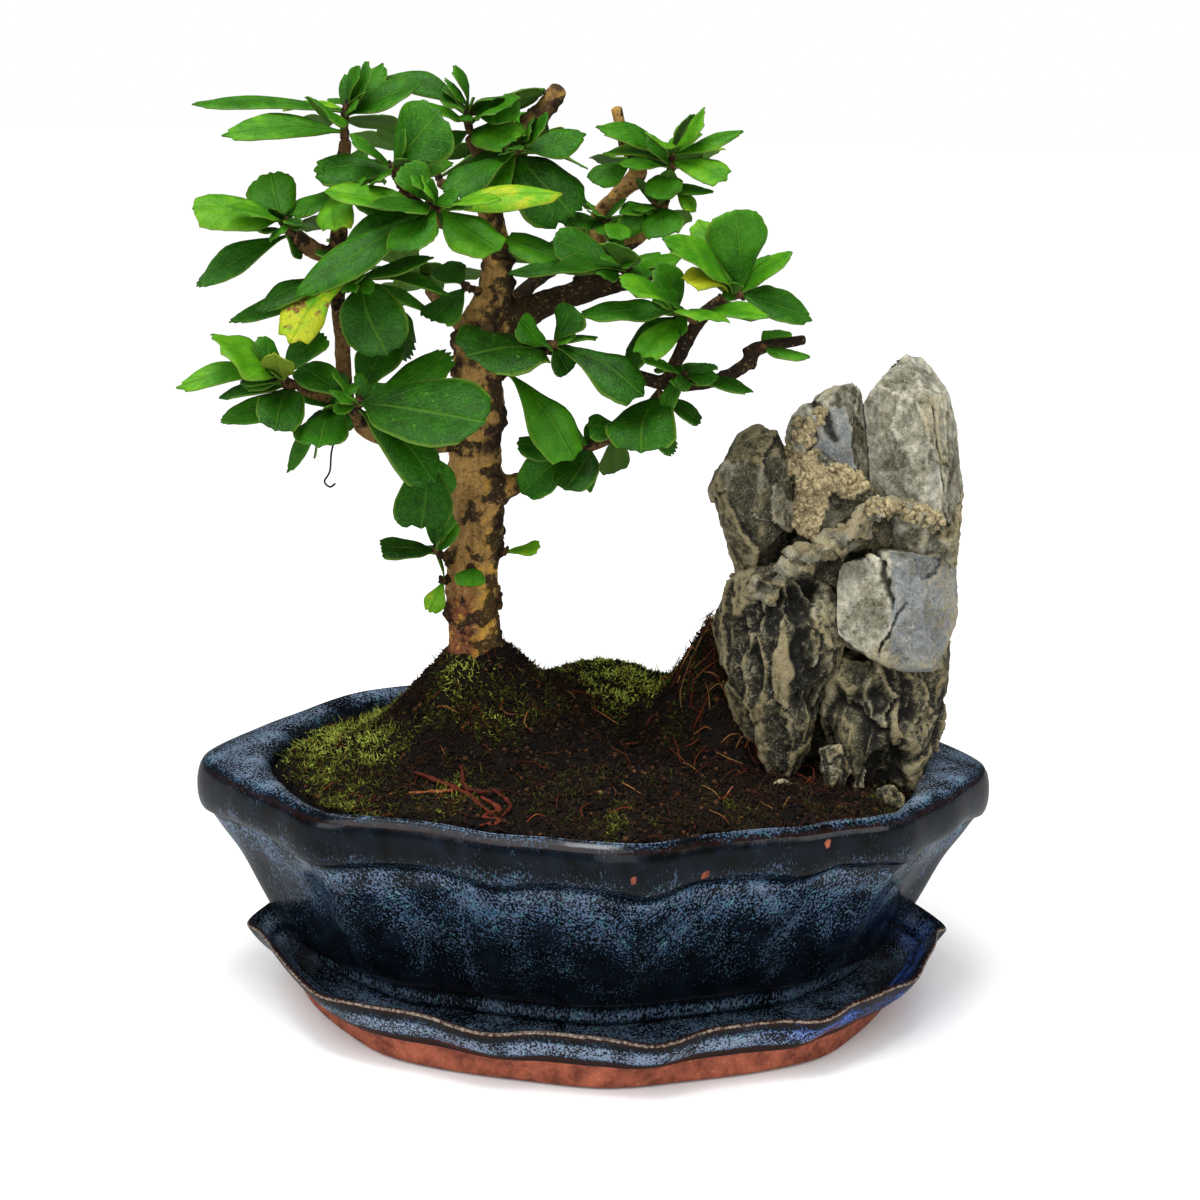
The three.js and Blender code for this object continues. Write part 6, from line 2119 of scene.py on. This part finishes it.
STONES = (
    Stone("rock_spire", 0.52, 0.7, 16, 2.4, 0.9, 17, 0.3, 13, (
        ((-0.62, -0.77, 0.1), 3.0, 0.0), ((0.42, -0.9, 0.1), 2.6, 0.3), ((-0.25, -0.6, 0.75), 3.5, 0.0),
        ((0.92, -0.35, 0.2), 2.0, 0.0), ((0.5, -0.4, 0.77), 2.5, 0.3)),
          (((96, -16, 164), (0.96, 0.1, 0.2), 0.4, 18),), 0.85),
    Stone("rock_boulder", 0.17, 1.2, 18, 1.5, 2.0, 15, 0.4, 12, (
        ((-0.55, -0.83, 0.1), 2.6, 0.0), ((0.5, -0.86, 0.05), 2.4, 0.0), ((-0.9, 0.1, 0.42), 2.0, 0.0))),
    Stone("rock_wedge", 0.46, 0.7, 14, 1.5, 1.1, 12, 0.0, 10, (
        ((0.12, -0.98, 0.16), 2.6, 0.9), ((-0.75, -0.6, 0.28), 2.2, 0.2), ((0.93, -0.3, 0.2), 0.6, 0.5)),
          (((60, -10, 181), (0.75, 0.1, 0.6), 1.5, 8), ((60, -10, 186), (0.4, 0.1, -0.9), 0.9, 7))),
    Stone("rock_slab_front", 0.68, 0.4, 12, 1.2, 0.8, 12, 0.0, 9, (
        ((-0.62, -0.76, 0.2), 4.0, 0.0), ((0.3, -0.94, 0.14), 3.0, 0.0), ((0.0, -0.35, 0.93), 2.0, 0.1),
        ((0.1, -0.5, -0.85), 2.0, 0.0)),
          (((77, -26, 140), (0.97, 0.0, 0.3), 1.0, 11), ((81, -26, 121), (0.9, 0.0, -0.4), 0.35, 7)),
          blue_from=79.5),
    Stone("rock_columns_left", 0.13, 2.6, 11, 4.0, 3.0, 9, 3.4, 8.5, chip_stretch=2.6),
    Stone("rock_columns_right", 0.14, 2.4, 11, 3.4, 3.0, 9, 3.8, 8.5, chip_stretch=2.2,
          whole=(((103, -5, 108), 8),)),
    Stone("rock_foot", 0.2, 0.8, 5, 2.0, 0.8, 4, 0.8, 5, voxel=0.5),
    Stone("rock_edge", 0.25, 1.2, 7, 2.5, 1.0, 5, 1.0, 6),
    Stone("rock_back", 0.24, 2.0, 11, 2.6, 2.4, 8, 3.0, 11, voxel=1.15, chip_stretch=2.2),
    Stone("loose_stone_pale", 0.75, 0.5, 5, 1.0, 0.9, 4, voxel=0.45),
    Stone("loose_stone_brown", 0.1, 0.5, 4, 1.0, 0.7, 3, voxel=0.45),
)

# The ragged crust over the slab and the lumps beside it: points along each, with its radius there.
CRUSTS = (
    (((71, -15, 151), (76, -16, 155), (84, -17, 155.5), (91, -17, 152.5), (96.5, -16, 148), (97.5, -14, 139),
      (94, -9, 129)), (2.0, 2.6, 2.4, 2.2, 2.2, 1.8, 1.2)),
    (((74, -15, 149), (67, -15, 145.5), (60, -13, 141), (53, -14, 137), (46, -14, 131.5), (40, -11, 127)),
     (3.0, 3.8, 3.0, 3.4, 3.2, 2.2)),
)

# Seams that cement crumbs lie along, as points seen from the front, x and z, with the reach of the crumbs.
CEMENT_SEAMS = (
    (((56, 175), (55, 166), (58, 157), (57, 149)), 4.0, 220),
    (((58, 160), (64, 163), (70, 160.5)), 3.8, 190),
    (((76, 155), (85, 154), (92, 152)), 3.0, 150),
    (((60, 180), (57, 176)), 2.0, 30),
)


def copy_of(node: str) -> bpy.types.Mesh:
    """A copy of a CAD node's mesh whose corners that lie in one place are merged.

    Args:
        node: the CAD node, which stays as it is.

    Returns:
        The copy, in metres.
    """
    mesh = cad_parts[node].data.copy()
    mesh.materials.clear()
    points, corners = read_mesh(mesh)
    _, first, back = np.unique(np.round(points, 7), axis=0, return_index=True, return_inverse=True)
    triangles = back.ravel()[corners].reshape(-1, 3)
    merged = bpy.data.meshes.new(node + "_copy")
    merged.from_pydata(points[first].tolist(), [], triangles.tolist())
    merged.update()
    bpy.data.meshes.remove(mesh)
    return merged


@dataclass
class Rock:
    """The built-up rock: weathered stones, and the cement that holds them."""

    seed: int = 40
    grit: float = 0.25
    blob_reach: float = 4.0
    warp: float = 1.3
    edge_height: float = 0.34
    edge_share: float = 0.6

    def weathered(self, stone: Stone, seed: int) -> Skin:
        """A stone's skin: its CAD form, cut flat at its broken faces, then weathered.

        A corner beyond a broken face is laid back onto it. It then moves out by long ridges and by the chips'
        own planes, and in where a pit or a crack is, all of it less on a broken face.

        Args:
            stone: the stone.
            seed: its own pattern.

        Returns:
            The skin, marked with its tone, blue, crests and painted shade in its pits, cracks and creases.
        """
        skin = remeshed(copy_of(stone.node), stone.voxel)
        relaxed(skin, 2)
        out = normals_of(skin)
        skin.points += 0.35 * out
        flat, blue = np.zeros(len(out)), np.zeros(len(out))
        for way, depth, hue in stone.faces:
            way = unit(np.array(way, float))
            past = skin.points @ way
            past -= past.max() - depth - 0.5 * waves(skin.points, 6, seed + 50)
            skin.points -= np.maximum(past, 0)[:, None] * way
            share = ramp(past, -0.8, 0) * (out @ way > 0.3)
            flat, blue = np.maximum(flat, share), np.maximum(blue, share * hue)
        out = normals_of(skin)
        where = skin.points.copy()
        long = (stone.period, stone.period, stone.period * stone.column)
        crag = ridges(where, long, seed, 3, 0.45)
        bent = where + np.stack([self.warp * layered(where, 9, seed + k, 3, 0.6) for k in (60, 61, 62)], -1)
        cell = stone.chip_size * np.array([1, 1, stone.chip_stretch])
        chip, seam = chips(bent, cell, seed + 5)
        nick, _ = chips(bent, cell * 0.38, seed + 6)
        open_pits = np.clip(waves(where, stone.pit_size * 2, seed + 7) * 2.5 + 0.9, 0, 1)
        pit = pebbles(bent, (stone.pit_size, stone.pit_size, stone.pit_size * 2.6), seed + 9)
        pit = ramp(pit, 0.36, 0.7)
        pit = pit * pit * (3 - 2 * pit) * open_pits
        crack = np.zeros(len(out))
        for point, way, width, reach in stone.cracks:
            away = (where - point) @ unit(np.array(way, float)) + 1.4 * layered(where, 7, seed + 11, 3)
            ends = ramp(np.linalg.norm((where - point)[:, ::2], axis=1), reach + 4, reach)
            crack = np.maximum(crack, ends * np.exp(-((away / (width * (0.4 + 0.6 * ends))) ** 2)))
        thin = np.zeros(len(out))
        for point, reach in stone.whole:
            thin = np.maximum(thin, ramp(np.linalg.norm(where - point, axis=1), reach, reach - 3))
        soft = (1 - 0.6 * flat) * (1 - 0.9 * thin)
        pit = pit * (1 - thin)
        relief = 0.5 * stone.ridge * crag + stone.chip * (0.85 * chip + 0.22 * nick)
        height = soft * relief - stone.pit * pit * soft
        height += self.grit * layered(where, 1.5, seed + 3, 2, 0.6) - 1.3 * crack - 0.12 * seam * soft
        skin.points = where + out * height[:, None]
        rise = 0.6 * crag + 0.8 * chip
        bulge = self.bulge(skin)
        crest = np.clip(0.4 + 0.6 * rise, 0, 1) * (1 - 0.6 * flat) * (1 - pit)
        # Painted shade: pits, cracks and creases darken, less on faces turned to the right.
        deep = min(1.0, 0.35 + stone.pit / 4) * np.clip(1.5 * pit - 0.75 * rise - 0.1, 0, 1)
        deep = deep * (1 - 0.7 * flat) * (1 - 0.8 * np.clip(2 * out[:, 0] - 1.0, 0, 1))
        hollow = np.clip(np.maximum(deep, 0.95 * crack) - self.edge_share * bulge, 0, 1)
        half = ramp(where[:, 0], stone.blue_from, stone.blue_from + 1.2) * (out[:, 1] < -0.3)
        tone = stone.tone + 0.2 * chip + 0.12 * flat - 0.12 * half + 0.35 * bulge
        blue = blue + 0.3 * chip * (1 - flat) + half
        return skin.marked(tone=tone, blue=blue, crest=crest + 0.5 * bulge, hollow=hollow)

    def bulge(self, skin: Skin) -> Array:
        """How far each corner stands out of its evened-out surroundings.

        Args:
            skin: the stone's skin.

        Returns:
            One on a sharp edge, about minus one in a sharp crease.
        """
        even = Skin(skin.points.copy(), skin.faces)
        relaxed(even, 6, 0.6)
        away = ((skin.points - even.points) * normals_of(skin)).sum(-1)
        return np.clip(away / self.edge_height, -1, 1)

    @staticmethod
    def away_from(seam: tuple[tuple[float, float], ...], points: Array, steps: int) -> Array:
        """How far points lie from a seam, seen from the front.

        Args:
            seam: the seam's points, x and z.
            points: the points.
            steps: places on the seam that are tried.

        Returns:
            One distance a point, in millimetres.
        """
        line = smooth_line(seam, np.linspace(0, 1, steps))
        return np.minimum.reduce([np.hypot(points[:, 0] - x, points[:, 2] - z) for x, z in line])

    def cement(self, node: str, seed: int) -> Skin:
        """The cement's skin: its CAD form, lumpy and covered in coarse grains.

        Away from its thick blob it is caked with stone dirt and takes the second material.

        Args:
            node: the CAD node.
            seed: its pattern.

        Returns:
            The skin, marked for both materials.
        """
        skin = remeshed(copy_of(node), 0.85)
        relaxed(skin, 2)
        out = normals_of(skin)
        lumps = layered(skin.points, 8, seed, 4, 0.6)
        coarse = pebbles(skin.points, 3.4, seed + 4)
        fine = pebbles(skin.points, 1.5, seed + 8)
        near = np.minimum(*(self.away_from(seam, skin.points, 30) for seam, _, _ in CEMENT_SEAMS[:2]))
        blob = near + 2.5 * lumps < self.blob_reach
        deep = np.where(blob, 0.0, -1.6)
        skin.points += out * (2.2 * lumps + 1.3 * coarse + 0.6 * fine - 0.8 + deep)[:, None]
        split = [(group, blob[group].all(axis=1)) for group, _ in skin.faces]
        parts = [(group[own], part) for group, inside in split for part, own in ((0, inside), (1, ~inside))]
        skin.faces = [(group, part) for group, part in parts if len(group)]
        # Painted shade in the low places; away from the blob, caked stone dirt.
        hollow = np.clip(0.1 - 0.55 * lumps - 0.5 * (coarse - 0.4), 0, 1) + np.where(blob, 0.0, 0.25)
        x, _, z = skin.points.T
        beside = bell(x, z, (66, 174, 8, 12))
        return skin.marked(hollow=hollow * (1 - 0.7 * beside), tone=0.28 + 0.2 * beside,
                           crest=0.4 + 0.4 * lumps, blue=0.9 * beside)

    def crust(self, seed: int) -> Skin:
        """The crust over the slab and the lumps beside it, fused and chipped.

        Args:
            seed: its pattern.

        Returns:
            The skin, marked for the stone material.
        """
        skins = [tube(line, radii, 12, 70, lumps=0.3, seed=k) for k, (line, radii) in enumerate(CRUSTS)]
        skin = fused(join(skins), 0.55)
        out = normals_of(skin)
        chip, _ = chips(skin.points, (5, 5, 4), seed)
        rough = layered(skin.points, 4, seed + 1, 3, 0.6)
        skin.points += out * (1.5 * chip + 0.8 * rough)[:, None]
        # Low places of the crust are painted dark as shade.
        return skin.marked(tone=0.5 + 0.25 * chip, crest=np.clip(0.7 + 0.6 * rough + 0.3 * out[:, 2], 0, 1),
                           hollow=np.clip(-0.9 * chip - 0.5 * rough - 0.2, 0, 1))

    def crumbs(self, skins: list[Skin], random: Random) -> Skin:
        """Crumbs of cement pressed onto the front along the seams.

        Args:
            skins: the stones' and the cement's skins.
            random: the seeded source.

        Returns:
            The crumbs.
        """
        points = np.vstack([s.points for s in skins])
        out = np.vstack([normals_of(s) for s in skins])
        points, out = points[out[:, 1] < 0.15], out[out[:, 1] < 0.15]
        points, out = points[points[:, 1] < 4], out[points[:, 1] < 4]
        places, ways = [], []
        for seam, reach, count in CEMENT_SEAMS:
            pool = np.flatnonzero(self.away_from(seam, points, 60) < reach)
            chosen = random.choice(pool, min(count, len(pool)), replace=False)
            places.append(points[chosen])
            ways.append(out[chosen])
        place, way = np.vstack(places), np.vstack(ways)
        count = len(place)
        size = random.uniform(0.5, 1.7, (count, 1)) * random.uniform(0.7, 1.2, (count, 3))
        frames = upright(way, random.uniform(0, TURN, count), random.uniform(0, 0.9, count), size)
        return scattered(lump(), place, frames, {"hollow": random.uniform(0, 0.35, count)})

    def dress(self, limestone: Material, cement: Material) -> None:
        """Makes every stone and the cement.

        Args:
            limestone: the stones' material.
            cement: the cement's material.
        """
        skins = []
        for k, stone in enumerate(STONES):
            skins.append(self.weathered(stone, self.seed + 13 * k))
            make_piece(f"{stone.node}_stone", skins[-1], [limestone], "stone", stone.node)
        skins.append(self.crust(self.seed))
        make_piece("rock_crust", skins[-1], [limestone], "stone")
        skins.append(self.cement("rock_mortar", self.seed))
        make_piece("rock_cement", skins[-1], [cement, limestone], "mortar", "rock_mortar")
        crumbs = self.crumbs(skins, np.random.default_rng(self.seed))
        make_piece("cement_crumbs", crumbs, [cement], "mortar")


@dataclass
class BarkChips:
    """The two chips of bark on the soil, on their CAD forms, split along the grain."""

    nodes: tuple[str, ...] = ("bark_chip_front", "bark_chip_back")
    voxel: float = 0.3
    split: float = 0.18
    grain: Place = (4, 1.2, 1.2)
    seed: int = 90

    def dress(self, bark: Material) -> None:
        """Makes both chips.

        Args:
            bark: the bark material.
        """
        for k, node in enumerate(self.nodes):
            skin = remeshed(copy_of(node), self.voxel)
            relaxed(skin, 1)
            split = ridges(skin.points, self.grain, self.seed + k, 2)
            skin.points += normals_of(skin) * (self.split * split)[:, None]
            make_piece(f"{node}_split", skin.marked(thick=3.4, shade=0.2, knob=0.0), [bark], "chip", node)


# Room, lights and camera


@dataclass(frozen=True)
class Studio:
    """A plain pale floor in soft light, and the camera where the photograph was taken from.

    Angles are degrees, lengths millimetres, and image offsets are pixels of the 1200 pixel frame. The floor's
    size and the lamps' places are in metres.
    """

    azimuth: float = -2.65
    elevation: float = 13.34
    distance: float = 603.9
    target_height: float = 122.1
    focal_pixels: float = 2031.0
    roll: float = -1.46
    offset: tuple[float, float] = (7.5, 2.0)
    frame_pixels: float = 1200.0
    sensor: float = 36.0
    sky: float = 0.68
    sky_in_gloss: float = 0.05
    paper: str = "#f6f6f6"
    paper_in_gloss: str = "#878787"
    floor_half: float = 30.0
    floor_low: float = -0.0004

    def camera(self) -> None:
        """Places the camera: its back points from the target to it, and its right and up are rolled."""
        a, e, r = (math.radians(x) for x in (self.azimuth, self.elevation, self.roll))
        back = Vector((math.sin(a) * math.cos(e), -math.cos(a) * math.cos(e), math.sin(e)))
        right = Vector((math.cos(a), math.sin(a), 0.0))
        up = back.cross(right)
        eye = (Vector((0, 0, self.target_height)) + back * self.distance) * MM
        data = bpy.data.cameras.new("photo_camera")
        data.sensor_width = self.sensor
        data.lens = self.sensor * self.focal_pixels / self.frame_pixels
        data.shift_x = -self.offset[0] / self.frame_pixels
        data.shift_y = self.offset[1] / self.frame_pixels
        data.clip_start, data.clip_end = 0.01, 80
        camera = bpy.data.objects.new("photo_camera", data)
        turned_right = right * math.cos(r) - up * math.sin(r)
        turned_up = right * math.sin(r) + up * math.cos(r)
        axes = Matrix((turned_right, turned_up, back)).transposed()
        camera.matrix_world = Matrix.Translation(eye) @ axes.to_4x4()
        bpy.context.scene.collection.objects.link(camera)
        bpy.context.scene.camera = camera

    def floor(self) -> None:
        """Lays the floor, which shiny things mirror more dimly, as in a photographer's tent."""
        material, tree = new_material("matt_white_paper")
        mirrored = add_node(tree, "LightPath", {}, "Is Glossy Ray")
        paper = {0: mirrored, 6: self.paper, 7: self.paper_in_gloss}
        paper = add_node(tree, "Mix", paper, 2, data_type="RGBA")
        matt = {"Base Color": paper, "Roughness": 0.9, "Specular IOR Level": 0.1}
        add_node(tree, "OutputMaterial", {"Surface": add_node(tree, "BsdfPrincipled", matt)})
        mesh = bpy.data.meshes.new("floor")
        half, low = self.floor_half, self.floor_low
        corners = [(-half, -half, low), (half, -half, low), (half, half, low), (-half, half, low)]
        mesh.from_pydata(corners, [], [(0, 1, 2, 3)])
        mesh.materials.append(material)
        floor = bpy.data.objects.new("floor", mesh)
        bpy.context.scene.collection.objects.link(floor)

    def lamp(self, name: str, kind: str, place: Place, power: float, size: float,
             height: float = 0.12) -> None:
        """Hangs one lamp that looks at the plant.

        Args:
            name: its name.
            kind: AREA or SUN.
            place: where it hangs, in metres.
            power: watts, or watts per square metre of a SUN.
            size: its width in metres, or a SUN's width in radians.
            height: the height that it looks at.
        """
        data = bpy.data.lights.new(name, kind)
        data.energy = power
        if kind == "SUN":
            data.angle = size
        else:
            data.size = size
        light = bpy.data.objects.new(name, data)
        light.location = place
        light.rotation_euler = (Vector((0, 0, height)) - Vector(place)).to_track_quat("-Z", "Y").to_euler()
        bpy.context.scene.collection.objects.link(light)

    def lights(self) -> None:
        """Hangs the soft lights and lights the room, more dimly for what shiny things mirror."""
        self.lamp("broad_daylight", "SUN", (-0.5, -0.75, 1.5), 1.85, 1.1)
        self.lamp("front_softbox", "AREA", (0.1, -1.3, 0.42), 2.2, 0.7, 0.05)
        self.lamp("left_softbox", "AREA", (-1.0, -0.55, 0.35), 1.3, 0.4)
        self.lamp("right_softbox", "AREA", (1.05, -0.55, 0.4), 2.0, 0.5)
        self.lamp("top_softbox", "AREA", (-0.1, -0.25, 1.1), 6.5, 0.4)
        world = bpy.data.worlds.new("white_room")
        world.use_nodes = True
        tree = world.node_tree
        tree.nodes.clear()
        seen = add_node(tree, "LightPath", {}, "Is Camera Ray")
        seen = add_node(tree, "MapRange", {0: seen, 3: self.sky, 4: 1.0})
        gloss = add_node(tree, "LightPath", {}, "Is Glossy Ray")
        gloss = add_node(tree, "MapRange", {0: gloss, 3: 0, 4: self.sky - self.sky_in_gloss})
        strength = add_node(tree, "Math", {0: seen, 1: gloss}, operation="SUBTRACT")
        sky = add_node(tree, "Background", {"Color": "#ffffff", "Strength": strength})
        add_node(tree, "OutputWorld", {"Surface": sky})
        bpy.context.scene.world = world
        bpy.context.scene.view_settings.view_transform = "Standard"

    def build(self) -> None:
        """Sets the camera, the floor and the lights."""
        self.camera()
        self.floor()
        self.lights()


def main() -> None:
    """Builds the room, then each part of the plant from the saucer up."""
    logging.basicConfig(level=logging.INFO)
    Studio().build()
    glaze, leaf, bark = Glaze().build(), LeafGreen().build(), BARK.build()
    POT.dress(glaze)
    SAUCER.dress(glaze)
    Ground().dress(SOIL_CRUMB.build(), MOSS_SPRIG.build(), DRY_FIBRE.build())
    Wood().dress(bark)
    Foliage().dress(leaf, bark)
    Tendril().dress(bark)
    Rock().dress(LIMESTONE.build(), CEMENT.build())
    BarkChips().dress(bark)


if __name__ == "__main__":
    main()
